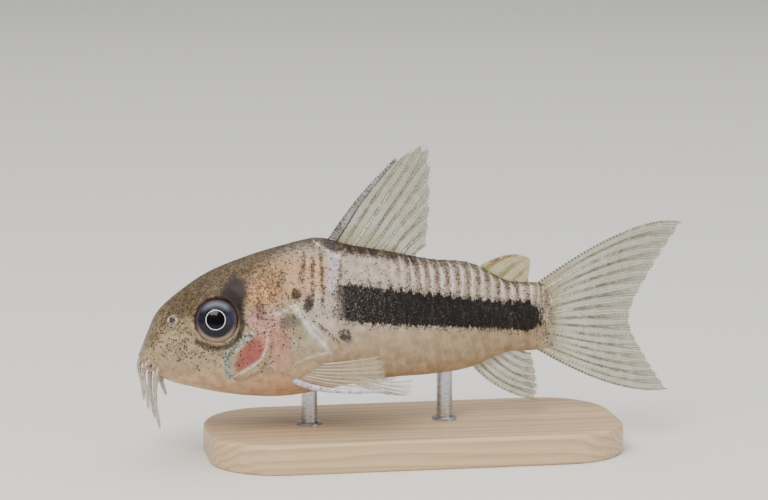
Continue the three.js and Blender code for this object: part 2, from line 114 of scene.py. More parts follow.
def through(points: Array, t: Array) -> Array:
    """Follows an even Catmull-Rom curve through points.

    Args:
        points: the points, one to a row.
        t: places along the curve, from 0 at the first point to 1 at the last.

    Returns:
        The curve's points at those places, with the shape of t and one more axis.
    """
    points = np.asarray(points, float)
    last = len(points) - 1
    padded = np.vstack([2 * points[0] - points[1], points, 2 * points[-1] - points[-2]])
    place = np.clip(np.asarray(t, float), 0, 1) * last
    i = np.minimum(place.astype(int), last - 1)
    w = (place - i)[..., None]
    a, b, c, d = (padded[i + k] for k in range(4))
    start, end = (c - a) / 2, (d - b) / 2
    ahead = 3 * w**2 - 2 * w**3
    return (1 - ahead) * b + (w**3 - 2 * w**2 + w) * start + ahead * c + (w**3 - w**2) * end


def reach_of_line(x: Array, z: Array, points: tuple[Point2, ...]) -> Array:
    """Measures how far places seen from the side lie from a bent line.

    Args:
        x: the places along the fish.
        z: their heights.
        points: the line's corners.

    Returns:
        The distance to the nearest part of the line.
    """
    nearest = np.full(np.shape(x), np.inf)
    for (ax, az), (bx, bz) in zip(points, points[1:]):
        dx, dz = bx - ax, bz - az
        t = np.clip(((x - ax) * dx + (z - az) * dz) / (dx * dx + dz * dz), 0, 1)
        nearest = np.minimum(nearest, np.hypot(x - ax - t * dx, z - az - t * dz))
    return nearest


def reach_of_oval(x: Array, z: Array, at: Point2, radii: Point2, tilt: float) -> Array:
    """Measures how places seen from the side lie to a tilted oval.

    Args:
        x: the places along the fish.
        z: their heights.
        at: the oval's middle.
        radii: its half length and half width.
        tilt: how far its length turns up towards the tail, in degrees.

    Returns:
        1 on the oval's edge, less inside and more outside.
    """
    a = math.radians(tilt)
    dx, dz = x - at[0], z - at[1]
    along = dx * math.cos(a) + dz * math.sin(a)
    across = dz * math.cos(a) - dx * math.sin(a)
    return np.hypot(along / radii[0], across / radii[1])


# Meshes


def make_object(name: str, points: Array, faces: list[Face]) -> Object:
    """Makes a smooth mesh object that is linked to the scene.

    Args:
        name: the object's name.
        points: its vertices, in millimetres.
        faces: its faces, as vertex indices.

    Returns:
        The object.
    """
    mesh = bpy.data.meshes.new(name)
    mesh.from_pydata((np.asarray(points, float).reshape(-1, 3) * MM).tolist(), [], [list(f) for f in faces])
    mesh.polygons.foreach_set("use_smooth", [True] * len(mesh.polygons))
    mesh.update()
    made = bpy.data.objects.new(name, mesh)
    bpy.context.scene.collection.objects.link(made)
    return made


def note(made: Object, **values: Array) -> None:
    """Stores numbers on the mesh's vertices, each by its name, for the materials to read."""
    for name, numbers in values.items():
        data = made.data.attributes.new(name, "FLOAT", "POINT").data
        data.foreach_set("value", np.asarray(numbers, np.float32).ravel())


def note_colours(made: Object, name: str, colours: Array) -> None:
    """Stores a linear colour on each vertex, for the materials to read."""
    rgb = np.asarray(colours, np.float32).reshape(-1, 3)
    rgba = np.hstack([rgb, np.ones((len(rgb), 1), np.float32)])
    made.data.attributes.new(name, "FLOAT_COLOR", "POINT").data.foreach_set("color", rgba.ravel())


def grid_faces(rows: int, columns: int, wrapped: bool = False, first: int = 0) -> list[Face]:
    """Lists the four-sided faces of a grid of vertices.

    Args:
        rows: rows of vertices.
        columns: vertices in a row.
        wrapped: whether each row closes on itself.
        first: index of the grid's first vertex.

    Returns:
        The faces as vertex indices.
    """
    faces = []
    for r in range(rows - 1):
        for c in range(columns if wrapped else columns - 1):
            d = (c + 1) % columns
            a, b = first + r * columns, first + (r + 1) * columns
            faces.append((a + c, a + d, b + d, b + c))
    return faces


def tipped_faces(rows: int, columns: int, first: int = 0) -> list[Face]:
    """Lists the faces of stacked rings that close on two tips, which follow the rings' vertices.

    Args:
        rows: how many rings there are.
        columns: vertices in a ring.
        first: index of the first ring's first vertex.

    Returns:
        The faces as vertex indices.
    """
    faces = grid_faces(rows, columns, wrapped=True, first=first)
    tip = first + rows * columns
    for i in range(columns):
        j = (i + 1) % columns
        faces.append((tip, first + j, first + i))
        faces.append((tip + 1, tip - columns + i, tip - columns + j))
    return faces


class TubeBundle:
    """Tapered round rods, gathered into one mesh."""

    def __init__(self, sides: int) -> None:
        """Starts an empty bundle of rods with so many sides each."""
        self.sides = sides
        self.points: list[Array] = []
        self.faces: list[Face] = []
        self.values: dict[str, list[Array]] = {}
        self.count = 0

    def add(self, line: Array, radii: Array, flat: float = 1.0, **values: Array | float) -> None:
        """Adds a rod along a line.

        Args:
            line: the rod's centre line, one point to a row.
            radii: its radius at each point.
            flat: its thickness across Y as a share of its width.
            values: numbers for each point of the line, noted on the rod's vertices. How far each
                vertex faces forwards is noted too.
        """
        along = unit(np.gradient(line, axis=0))
        across = unit(np.cross(along, np.broadcast_to((0.0, 1.0, 0.0), along.shape)))
        other = np.cross(along, across)
        turn = once_round(self.sides)
        ahead, aside = np.cos(turn)[:, None], flat * np.sin(turn)[:, None]
        rings = line[:, None] + radii[:, None, None] * (ahead * across[:, None] + aside * other[:, None])
        self.points.append(np.vstack([rings.reshape(-1, 3), line[:1], line[-1:]]))
        self.faces += tipped_faces(len(line), self.sides, self.count)
        self.count += len(line) * self.sides + 2
        for name, numbers in values.items():
            numbers = np.broadcast_to(np.asarray(numbers, float), len(line))
            kept = np.concatenate([np.repeat(numbers, self.sides), [numbers[0], numbers[-1]]])
            self.values.setdefault(name, []).append(kept)
        front = np.concatenate([np.tile(np.cos(turn), len(line)), [0, 0]])
        self.values.setdefault("front", []).append(front)

    def build(self, name: str) -> Object:
        """Makes the bundle's object, with the noted numbers on its vertices."""
        made = make_object(name, np.vstack(self.points), self.faces)
        note(made, **{key: np.concatenate(parts) for key, parts in self.values.items()})
        return made


def settle(made: Object, finish: Material, slot: str, *nodes: str) -> None:
    """Dresses a finished piece and puts it on the frame.

    Args:
        made: the piece.
        finish: its material.
        slot: not used.
        nodes: the frame's nodes that it stands for.
    """
    made.data.materials.append(finish)
    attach(made, BODY)
    if nodes:
        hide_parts(*nodes)
    LOG.info("%s: %d faces", made.name, len(made.data.polygons))


# Shader graphs


class Wire:
    """A value in a shader graph, worked on with the signs that plain numbers take."""

    def __init__(self, graph: Graph, socket: Socket) -> None:
        """Keeps the graph and the output socket that the value comes from."""
        self.graph, self.socket = graph, socket

    def output(self, key: str | int) -> Wire:
        """Another output of the same node."""
        return Wire(self.graph, self.socket.node.outputs[key])

    def clamped(self) -> Wire:
        """The same value, held between 0 and 1."""
        self.socket.node.use_clamp = True
        return self

    def __add__(self, other: Wire | float) -> Wire:
        """This value and the other."""
        return self.graph.math("ADD", self, other)

    def __radd__(self, other: float) -> Wire:
        """The other and this value."""
        return self.graph.math("ADD", other, self)

    def __sub__(self, other: Wire | float) -> Wire:
        """This value less the other."""
        return self.graph.math("SUBTRACT", self, other)

    def __rsub__(self, other: float) -> Wire:
        """The other less this value."""
        return self.graph.math("SUBTRACT", other, self)

    def __mul__(self, other: Wire | float) -> Wire:
        """This value times the other."""
        return self.graph.math("MULTIPLY", self, other)


Value = Wire | float


class Graph:
    """Adds nodes to one material or node group and joins them up."""

    def __init__(self, tree: bpy.types.NodeTree) -> None:
        """Works on the given tree."""
        self.tree = tree

    def feed(self, socket: Socket, value: object) -> None:
        """Links a wire to a socket, or sets a plain value on it."""
        if isinstance(value, Wire):
            self.tree.links.new(value.socket, socket)
        else:
            socket.default_value = value

    def node(self, kind: str, inputs: dict | None = None, **settings: object) -> Wire:
        """Adds a node.

        Args:
            kind: the node's type name, without ShaderNode in front.
            inputs: a wire to link or a value to set, by input name or number.
            settings: the node's own settings.

        Returns:
            The new node's first output.
        """
        made = self.tree.nodes.new(kind if kind.startswith("Node") else "ShaderNode" + kind)
        for key, value in settings.items():
            setattr(made, key, value)
        for key, value in (inputs or {}).items():
            self.feed(made.inputs[key], value)
        return Wire(self, made.outputs[0])

    def math(self, operation: str, a: Value, b: Value = 0.0) -> Wire:
        """Works out one number from one or two others."""
        return self.node("Math", {0: a, 1: b}, operation=operation)

    def step(self, value: Value, low: float, high: float, top: float = 1.0) -> Wire:
        """Rises smoothly from 0 at low to top at high."""
        inputs = {"Value": value, "From Min": low, "From Max": high, "To Min": 0.0, "To Max": top}
        return self.node("MapRange", inputs, interpolation_type="SMOOTHSTEP")

    def blend(self, share: Value, a: Wire | Colour, b: Wire | Colour, mode: str = "MIX") -> Wire:
        """Mixes two colours, wired or sRGB, by a share of the second."""
        a, b = (c if isinstance(c, Wire) else linear(c) for c in (a, b))
        return self.node("Mix", {0: share, 6: a, 7: b}, data_type="RGBA", blend_type=mode).output(2)

    def layers(self, colour: Wire | Colour, *layers: tuple[Value, Wire | Colour]) -> Wire:
        """Lays colours one after another over the first, each by its own share."""
        for share, upper in layers:
            colour = self.blend(share, colour, upper)
        return colour

    def noted(self, name: str) -> Wire:
        """Reads a number stored on the mesh; its output 0 is a stored colour."""
        return self.node("Attribute", attribute_name=name).output(2)

    def place(self, per_mm: float, stretch: Point3 = (1.0, 1.0, 1.0)) -> Wire:
        """The place on the object, scaled so that a texture repeats so many times in a millimetre."""
        factor = tuple(per_mm / MM * s for s in stretch)
        return self.node("VectorMath", {0: self.spot(), 1: factor}, operation="MULTIPLY")

    def spot(self) -> Wire:
        """The place on the object, in metres."""
        return self.node("TexCoord").output("Object")

    def noise(self, per_mm: float, detail: float = 2.0, stretch: Point3 = (1.0, 1.0, 1.0)) -> Wire:
        """A cloudy pattern from 0 to 1."""
        inputs = {"Vector": self.place(per_mm, stretch), "Scale": 1.0, "Detail": detail, "Roughness": 0.55}
        return self.node("TexNoise", inputs)


class NodeGroup(Graph):
    """A shader node group, built once and placed in each material with its own values."""

    def __init__(self, name: str, output: str, **inputs: float) -> None:
        """Starts the group.

        Args:
            name: the group's name.
            output: the name of the number that it gives.
            inputs: the numbers that it takes, with the value that each starts from.
        """
        super().__init__(bpy.data.node_groups.new(name, "ShaderNodeTree"))
        add_socket = self.tree.interface.new_socket
        titles = [key.replace("_", " ").capitalize() for key in inputs]
        for title, value in zip(titles, inputs.values()):
            add_socket(title, in_out="INPUT", socket_type="NodeSocketFloat").default_value = value
        add_socket(output, in_out="OUTPUT", socket_type="NodeSocketFloat")
        begin = self.node("NodeGroupInput")
        result = self.pattern(*(begin.output(title) for title in titles))
        self.feed(self.tree.nodes.new("NodeGroupOutput").inputs[output], result)

    def placed(self, graph: Graph, *values: Value) -> Wire:
        """Places the group in a material with its own values, in the order of its inputs."""
        return graph.node("Group", dict(enumerate(values)), node_tree=self.tree)


class SpeckleGroup(NodeGroup):
    """Dark pigment dots: one in each cell of a broken-up pattern, where the density lets it show."""

    solid_core: float = 0.6

    def pattern(self, cells_per_mm: Wire, dot_size: Wire, density: Wire) -> Wire:
        """Works out the mask of dots.

        Args:
            cells_per_mm: how many cells lie along a millimetre.
            dot_size: a dot's radius, as a share of a cell.
            density: the share of the cells that show their dot.

        Returns:
            The mask, 1 on the dots.
        """
        scale = self.math("DIVIDE", cells_per_mm, MM)
        place = self.node("VectorMath", {0: self.spot(), "Scale": scale}, operation="SCALE")
        cells = self.node("TexVoronoi", {"Vector": place, "Scale": 1.0, "Randomness": 1.0})
        draw = self.node("SeparateColor", {0: cells.output("Color")})
        reach = {"Value": cells.output("Distance"), "From Min": dot_size * self.solid_core}
        edge = self.node("MapRange", {**reach, "From Max": dot_size, "To Min": 1.0, "To Max": 0.0})
        return edge * self.math("LESS_THAN", draw, density)


class FineBumpGroup(NodeGroup):
    """A fine uneven height for skin and membranes."""

    def pattern(self, coarse: Wire, fine: Wire) -> Wire:
        """Works out the height from coarse bumps and fine ones."""
        return self.noise(2.4) * coarse + self.noise(9.0) * fine


SPECKLES = SpeckleGroup("pigment speckles", "Mask", cells_per_mm=4.0, dot_size=0.4, density=0.5)
FINE_BUMPS = FineBumpGroup("fine bumps", "Height", coarse=0.5, fine=0.5)


class Paint(Graph):
    """A graph that builds one material on a Principled shader."""

    def __init__(self, name: str, **constants: object) -> None:
        """Starts the material.

        Args:
            name: the material's name.
            constants: values set on the shader's own sockets, with words joined by underscores.
        """
        self.material = bpy.data.materials.new(name)
        self.material.use_nodes = True
        super().__init__(self.material.node_tree)
        self.shader = self.tree.nodes["Principled BSDF"]
        for key, value in constants.items():
            self.give(key.replace("_", " "), value)

    def give(self, socket: str, value: object) -> None:
        """Feeds one of the shader's sockets."""
        self.feed(self.shader.inputs[socket], value)

    def roughen(self, least: float, spread: float, cloud: Wire | None = None) -> None:
        """Gives a roughness that wanders up from the least with a cloudy pattern."""
        self.give("Roughness", least + (cloud or self.noise(3.0)) * spread)

    def bump(self, height: Wire, strength: float, deep: float) -> None:
        """Feeds a height through a bump to the shader's normal; deep is in millimetres."""
        inputs = {"Height": height, "Strength": strength, "Distance": deep * MM}
        self.give("Normal", self.node("Bump", inputs))

    def fine_bumps(self) -> None:
        """Gives the fine bumps of fins and barbels."""
        self.bump(FINE_BUMPS.placed(self, 0.5, 0.5), strength=0.4, deep=0.04)

    def dots(self, cells_per_mm: float, size: float, density: Value) -> Wire:
        """Gives the mask of dark pigment dots."""
        return SPECKLES.placed(self, cells_per_mm, size, density)


# The body's form


@dataclass(frozen=True)
class Section:
    """One cross-section of the body, from the belly's point on the midline to the back's.

    half is the half width, widest the height of the widest line as a share of the depth, and arch
    and floor how full the upper and lower curves are, 2 being round.
    """

    top: Point2
    under: Point2
    half: float
    widest: float
    arch: float
    floor: float


SECTIONS = (
    Section((-27.63, 10.75), (-27.55, 10.15), 0.75, 0.5, 2.0, 2.0),
    Section((-27.31, 11.49), (-26.87, 9.6), 1.8, 0.48, 2.1, 2.1),
    Section((-26.7, 12.98), (-25.99, 8.85), 2.55, 0.45, 2.2, 2.3),
    Section((-25.71, 14.96), (-24.7, 8.05), 3.2, 0.42, 2.2, 2.5),
    Section((-23.71, 16.76), (-22.61, 7.45), 3.8, 0.41, 2.2, 2.6),
    Section((-20.71, 18.73), (-20.11, 6.88), 4.4, 0.41, 2.15, 2.7),
    Section((-17.0, 20.18), (-17.1, 6.44), 4.95, 0.4, 2.05, 2.8),
    Section((-13.19, 21.28), (-13.57, 6.29), 5.3, 0.4, 1.9, 2.9),
    Section((-9.67, 21.94), (-10.03, 6.68), 5.25, 0.44, 1.7, 2.9),
    Section((-6.44, 21.15), (-6.47, 7.22), 4.85, 0.49, 1.65, 2.8),
    Section((-2.39, 20.35), (-2.59, 7.66), 4.2, 0.51, 1.7, 2.6),
    Section((1.69, 19.46), (1.72, 7.8), 3.4, 0.51, 1.75, 2.4),
    Section((5.79, 18.95), (5.63, 8.28), 2.6, 0.51, 1.8, 2.2),
    Section((9.5, 17.09), (9.24, 9.65), 1.85, 0.5, 1.9, 2.0),
    Section((12.5, 16.75), (12.35, 9.81), 1.25, 0.5, 2.0, 2.0),
    Section((14.16, 16.35), (14.22, 10.05), 0.8, 0.5, 2.0, 2.0),
)


class BodyForm:
    """The smooth body, as places s from the snout to the tail root and angles from belly to back."""

    def __init__(self) -> None:
        """Gathers the sections into one set of lines."""
        self.last = len(SECTIONS) - 1
        self.lines = np.array([[*c.top, *c.under, c.half, c.widest, c.arch, c.floor] for c in SECTIONS])

    def sections(self, s: Array) -> Array:
        """The numbers of the sections at places s, on the first axis."""
        return np.moveaxis(through(self.lines, np.asarray(s, float) / self.last), -1, 0)

    def middle_x(self, s: Array) -> Array:
        """Where the sections at s cross mid height."""
        top_x, _, under_x, *_ = self.sections(s)
        return (top_x + under_x) / 2

    def points(self, s: Array, angle: Array, side: Array) -> Array:
        """Points of the skin.

        Args:
            s: places along the body.
            angle: from -90 degrees on the belly to +90 on the back, in radians.
            side: -1 for the fish's left and +1 for its right.

        Returns:
            The points, with the three arguments' common shape and one more axis.
        """
        top_x, top_z, under_x, under_z, half, widest, arch, floor = self.sections(s)
        power = 2 / np.where(angle >= 0, arch, floor)
        out = np.clip(np.cos(angle), 0, 1) ** power
        rise = np.abs(np.sin(angle)) ** power * np.sign(angle)
        share = widest + rise * np.where(angle >= 0, 1 - widest, widest)
        x = under_x + share * (top_x - under_x)
        z = under_z + share * (top_z - under_z)
        return np.stack([x, side * out * half, z], axis=-1)

    def flank(self, x: float, z: float, side: Side) -> Array:
        """Finds the skin's point where a line of sight from the side meets it.

        Args:
            x: how far along the fish the line of sight runs.
            z: its height.
            side: the side that it comes from.

        Returns:
            The point.
        """
        low, high = 0.0, float(self.last)
        for _ in range(40):
            mid = (low + high) / 2
            top_x, top_z, under_x, under_z, *_ = self.sections(mid)
            ahead = (top_x - under_x) * (z - under_z) - (top_z - under_z) * (x - under_x)
            low, high = (mid, high) if ahead < 0 else (low, mid)
        _, top_z, _, under_z, half, widest, arch, floor = self.sections(low)
        share = (z - under_z) / (top_z - under_z)
        above = share >= widest
        q = (share - widest) / (1 - widest) if above else (widest - share) / widest
        n = arch if above else floor
        return np.array([x, side.value * half * max(1 - min(max(q, 0), 1) ** n, 0) ** (1 / n), z])

    def flank_normal(self, x: float, z: float, side: Side) -> Array:
        """Finds the outward normal there.

        Args:
            x: how far along the fish the line of sight runs.
            z: its height.
            side: the side that it comes from.

        Returns:
            The normal, of length 1.
        """
        step = 0.25
        along = self.flank(x + step, z, side) - self.flank(x - step, z, side)
        up = self.flank(x, z + step, side) - self.flank(x, z - step, side)
        normal = unit(np.cross(along, up))
        return normal if normal[1] * side.value > 0 else -normal


FORM = BodyForm()


# Eyes


@dataclass
class Eye:
    """A flattened ball set in the head: black pupil, bright ring, dark iris and pale outer ring."""

    at: Point2 = (-20.4, 14.64)
    radius: float = 2.5
    thickness: float = 3.3
    sunk: float = 0.9
    cornea: float = 0.12
    cornea_reach: float = 1.35
    rings: int = 64
    spokes: int = 96

    def axes(self, side: Side) -> tuple[Array, Array, Array, Array]:
        """The centre on the skin, the outward axis, and the axes towards the tail and up."""
        centre = FORM.flank(*self.at, side)
        out = FORM.flank_normal(*self.at, side)
        up = unit(np.array([0.0, 0.0, 1.0]) - out[2] * out)
        return centre, out, unit(np.cross(up, out)) * side.value, up

    def build(self, side: Side) -> Object:
        """Builds one eye.

        Args:
            side: the side of the fish that it is on.

        Returns:
            The eye, with each vertex's reach from the pupil's middle and its turn upwards noted on it.
        """
        centre, out, back, up = self.axes(side)
        polar = np.linspace(0, math.pi, self.rings)[1:-1]
        turn = once_round(self.spokes)
        reach = self.radius * np.sin(polar)
        front = polar < math.pi / 2
        cornea = self.cornea * np.exp(-((reach / self.cornea_reach) ** 4)) * front
        height = self.thickness / 2 * np.cos(polar) + cornea - self.sunk
        flat = np.cos(turn)[:, None] * back + np.sin(turn)[:, None] * up
        rows = centre + reach[:, None, None] * flat + height[:, None, None] * out
        tips = [self.thickness / 2 + self.cornea - self.sunk, -self.thickness / 2 - self.sunk]
        points = np.vstack([rows.reshape(-1, 3), *(centre + tip * out for tip in tips)])
        faces = tipped_faces(len(polar), self.spokes)
        if side is Side.LEFT:
            faces = [tuple(reversed(f)) for f in faces]
        made = make_object("eyeball_" + side.word, points, faces)
        reach = np.where(front, reach, 2 * self.radius - reach)
        note(
            made,
            reach=np.concatenate([np.repeat(reach, self.spokes), [0, 2 * self.radius]]),
            upward=np.concatenate([np.tile(np.sin(turn), len(polar)), [0, 0]]),
        )
        return made


@dataclass(frozen=True)
class EyeFinish:
    """Wet, glossy eye with rings of colour around the pupil, and a painted highlight on the upper iris."""

    pupil: Colour = (3, 3, 6)
    bright: Colour = (246, 248, 250)
    iris: Colour = (24, 20, 30)
    iris_blue: Colour = (62, 66, 92)
    sheen: Colour = (150, 160, 170)
    rim: Colour = (66, 54, 66)
    rim_low: Colour = (150, 130, 112)
    outline: Colour = (44, 34, 40)
    pupil_edge: float = 0.93
    bright_edge: float = 0.985
    iris_edge: float = 1.72

    def material(self) -> Material:
        """Makes the material.

        Returns:
            The finished material.
        """
        paint = Paint("eye", Coat_Weight=0.2, Coat_Roughness=0.05, Specular_IOR_Level=0.12)
        reach = paint.noted("reach") + (paint.noise(2.5) - 0.5) * 0.07
        upward = paint.noted("upward")
        # Painted highlight: the upper outer iris is lightened towards a pale blue-grey, standing in for a
        # reflection of the light.
        highlight_share = paint.step(upward, 0.35, 0.95, top=0.4) * paint.step(reach, 1.15, 1.6)
        blue = paint.step(paint.noise(7.0, detail=3.0), 0.45, 0.9)
        iris = paint.layers(self.iris, (blue, self.iris_blue), (highlight_share, self.sheen))
        outline = paint.step(reach, 1.98, 2.12) * paint.step(upward, -0.8, -0.1)
        low = paint.step(upward, -0.1, -0.9)
        rim = paint.layers(self.rim, (low, self.rim_low), (outline, self.outline))
        colour = paint.layers(
            iris,
            (paint.step(reach, self.iris_edge - 0.12, self.iris_edge + 0.22), rim),
            (paint.step(reach, self.bright_edge + 0.03, self.bright_edge - 0.03), self.bright),
            (paint.step(reach, self.pupil_edge + 0.02, self.pupil_edge - 0.02), self.pupil),
        )
        paint.give("Base Color", colour)
        paint.give("Roughness", paint.noise(5.0) * 0.3)
        return paint.material


# Skin


@dataclass(frozen=True)
class Blob:
    """A soft oval mark on the flank."""

    at: Point2
    radii: Point2
    tilt: float = 0.0
    strength: float = 1.0

    def mask(self, x: Array, z: Array) -> Array:
        """How strongly each place seen from the side takes the mark."""
        return self.strength * smooth(reach_of_oval(x, z, self.at, self.radii, self.tilt), 1.3, 0.7)


@dataclass(frozen=True)
class Line:
    """A soft bent line on the flank."""

    points: tuple[Point2, ...]
    width: float
    strength: float = 1.0

    def mask(self, x: Array, z: Array) -> Array:
        """How strongly each place seen from the side takes the line."""
        return self.strength * smooth(reach_of_line(x, z, self.points), self.width, self.width * 0.25)


@dataclass(frozen=True)
class Patch:
    """A soft-edged area on the flank with corners."""

    points: tuple[Point2, ...]
    soft: float
    strength: float

    def mask(self, x: Array, z: Array) -> Array:
        """Works out how strongly each place seen from the side takes the area.

        Args:
            x: the places along the fish.
            z: their heights.

        Returns:
            The strength in each place, from 0 to 1.
        """
        closed = self.points + self.points[:1]
        inside = np.zeros(np.shape(x), bool)
        for (ax, az), (bx, bz) in zip(closed, closed[1:]):
            crosses = (az > z) != (bz > z)
            inside ^= crosses & (x < ax + (bx - ax) * (z - az) / (bz - az + 1e-12))
        reach = reach_of_line(x, z, closed)
        return self.strength * smooth(np.where(inside, reach, -reach), -self.soft, self.soft)


@dataclass(frozen=True)
class Markings:
    """The skin's colours, and where its marks lie on either flank; the thin pale lines along the ridges are
    painted highlights.
    """

    belly: Colour = (180, 156, 126)
    belly_tail: Colour = (174, 152, 120)
    silver: Colour = (192, 178, 164)
    back: Colour = (116, 102, 84)
    crown: Colour = (118, 100, 74)
    cheek: Colour = (172, 154, 124)
    throat: Colour = (198, 164, 134)
    tail_root: Colour = (190, 176, 146)
    nostril_rim: Colour = (206, 196, 180)
    # Painted shade: the sunken nostril pits are darkened.
    nostril_pit: Colour = (112, 98, 88)
    lip: Colour = (206, 178, 160)
    # Painted shade: the grooved slit between the lips is darkened.
    mouth_line: Colour = (92, 62, 54)
    gill: tuple[Point2, ...] = (
        (-17.12, 13.2), (-16.1, 12.6), (-15.8, 11.7), (-16.5, 10.65), (-18.3, 9.45), (-18.72, 10.2),
        (-18.15, 11.7),
    )
    shoulder: tuple[Point2, ...] = (
        (-14.14, 14.45), (-12.7, 15.2), (-11.6, 13.6), (-9.6, 11.4), (-12.5, 10.6), (-12.9, 12.4),
    )
    opercle: tuple[Point2, ...] = (
        (-15.34, 13.81), (-15.43, 12.98), (-15.64, 12.01), (-16.05, 10.89), (-17.14, 10.05),
        (-18.36, 9.32), (-18.88, 8.87),
    )
    preopercle: tuple[Point2, ...] = (
        (-17.1, 13.3), (-18.23, 12.31), (-19.05, 11.61), (-19.59, 10.77), (-19.45, 9.61), (-18.9, 8.9),
    )
    shoulder_ridge: tuple[Point2, ...] = (
        (-12.6, 15.65), (-12.28, 15.1), (-11.21, 13.44), (-9.95, 12.12), (-9.38, 11.38),
    )
    shoulder_foot: tuple[Point2, ...] = ((-12.9, 10.2), (-12.33, 10.45), (-10.65, 11.16), (-9.38, 11.38))
    shoulder_seam: tuple[Point2, ...] = ((-9.95, 21.6), (-10.6, 19.0), (-12.1, 16.6), (-12.75, 15.9))
    eye_shadow: tuple[Point2, ...] = (
        (-22.3, 12.55), (-21.4, 12.1), (-20.3, 11.9), (-19.1, 12.2), (-18.25, 13.0), (-17.95, 14.2),
        (-17.95, 15.3),
    )
    temple: tuple[Point2, ...] = (
        (-20.2, 16.75), (-19.6, 17.6), (-18.5, 18.7), (-17.45, 18.2), (-17.4, 16.9), (-17.8, 15.4),
        (-18.15, 15.0), (-18.7, 16.0), (-19.4, 16.5),
    )
    saddle: tuple[Point2, ...] = ((-6.9, 20.9), (-5.6, 20.75), (-4.3, 20.5), (-2.5, 20.1), (-0.6, 19.6))
    nape: tuple[Point2, ...] = ((-10.23, 21.67), (-9.26, 21.01), (-8.2, 20.28), (-7.2, 20.8))

    def marks(self) -> list[tuple[Colour, Blob | Line | Patch]]:
        """Lists the soft marks, painted highlights along the ridges among them.

        Returns:
            Each mark after its colour, from the undermost to the uppermost.
        """
        return [
            ((206, 160, 118), Blob((-13.6, 18.3), (4.2, 2.0), 15, 0.65)),
            ((218, 160, 106), Blob((-15.8, 17.2), (1.7, 0.9), 35, 0.65)),
            ((196, 156, 122), Blob((-10.9, 18.6), (1.8, 2.6), 80, 0.6)),
            ((204, 156, 146), Blob((-15.7, 14.7), (2.0, 1.2), -10, 0.8)),
            ((198, 146, 108), Blob((-12.6, 8.3), (5.0, 1.1), 4, 0.4)),
            ((192, 138, 122), Blob((-14.2, 12.0), (1.1, 2.5), -8, 0.7)),
            ((168, 154, 126), Patch(self.shoulder, 0.3, 0.75)),
            ((104, 94, 86), Blob((-13.1, 14.5), (1.3, 0.7), 10, 0.75)),
            # Painted highlight: a soft pale band along the crest of the shoulder ridge.
            ((214, 212, 204), Line(self.shoulder_ridge, 0.5, 0.5)),
            ((204, 142, 132), Blob((-16.3, 12.0), (0.9, 1.9), -30, 0.8)),
            ((150, 80, 74), Patch(self.gill, 0.24, 0.88)),
            ((182, 190, 180), Line(self.preopercle, 0.52, 0.85)),
            ((242, 212, 204), Line(self.opercle, 0.15, 0.7)),
            ((24, 14, 28), Patch(self.temple, 0.4, 0.95)),
            ((60, 48, 46), Line(self.eye_shadow, 0.42, 0.75)),
            ((104, 90, 74), Line(((-7.7, 21.0), (-5.0, 20.8), (-1.5, 20.1), (3.0, 19.2)), 0.9, 0.45)),
            *(((46, 40, 42), Blob(at, (0.62, 0.36), -12, 0.85)) for at in self.saddle),
            ((196, 182, 196), Line(((-8.35, 20.4), (-8.75, 19.2), (-9.0, 17.6)), 0.75, 0.85)),
            ((54, 48, 46), Blob((-8.5, 21.3), (1.0, 0.55), -25, 0.8)),
            # Painted highlights: thin pale glints along the nape and along the shoulder's ridges and edges.
            ((226, 220, 212), Line(self.nape, 0.16, 0.8)),
            ((236, 226, 216), Line(((-12.92, 16.0), (-14.48, 15.15), (-15.44, 15.02)), 0.13, 0.7)),
            ((232, 230, 224), Line(self.shoulder_ridge, 0.15, 0.62)),
            ((214, 216, 226), Line(((-11.19, 14.26), (-9.67, 12.54)), 0.12, 0.55)),
            ((240, 228, 204), Line(self.shoulder_foot, 0.12, 0.55)),
            ((86, 76, 112), Blob((-7.6, 12.8), (0.5, 0.9), 30, 0.5)),
            ((58, 46, 42), Blob((-12.52, 17.0), (0.45, 0.55), 0, 0.6)),
            ((54, 44, 44), Blob((-11.33, 16.15), (0.45, 0.8), -15, 0.65)),
            ((248, 240, 176), Blob((-12.65, 15.7), (0.36, 0.28))),
        ]

    def clumps(self, x: Array, z: Array) -> Array:
        """Works out how strongly dark pigment gathers in broken clumps.

        Args:
            x: the places along the fish.
            z: their heights.

        Returns:
            The strength in each place, from 0 to 1.
        """
        spots = (
            Blob((-12.52, 17.1), (0.5, 0.65)),
            Blob((-11.33, 16.15), (0.55, 0.85), -15),
            Blob((-16.17, 15.57), (0.5, 0.95)),
            Blob((-7.8, 12.9), (0.7, 0.55), -30, 0.9),
            Line(((-11.5, 20.6), (-11.9, 18.4)), 0.42, 0.85),
            Line(((-10.65, 20.2), (-10.95, 16.9)), 0.36, 0.85),
            Line(((-9.75, 20.9), (-9.95, 16.3)), 0.36, 0.8),
            Line(((-7.9, 19.8), (-8.3, 16.6)), 0.4, 0.75),
            Line(((-13.7, 19.0), (-14.0, 17.9)), 0.5, 0.8),
            Line(((-10.9, 14.4), (-8.5, 12.3)), 0.3, 0.7),
            Line(((-13.6, 17.2), (-14.9, 17.0)), 0.3, 0.6),
            Line(((-7.6, 20.8), (-5.0, 20.6), (-3.5, 20.3)), 0.7, 0.85),
            Line(((-3.5, 20.3), (-1.0, 19.8), (2.5, 19.1)), 0.6, 0.6),
            Line(self.eye_shadow, 0.5, 0.8),
            Line(self.preopercle, 0.5, 0.5),
            Patch(self.temple, 0.4, 0.8),
        )
        return np.max([spot.mask(x, z) for spot in spots], axis=0)


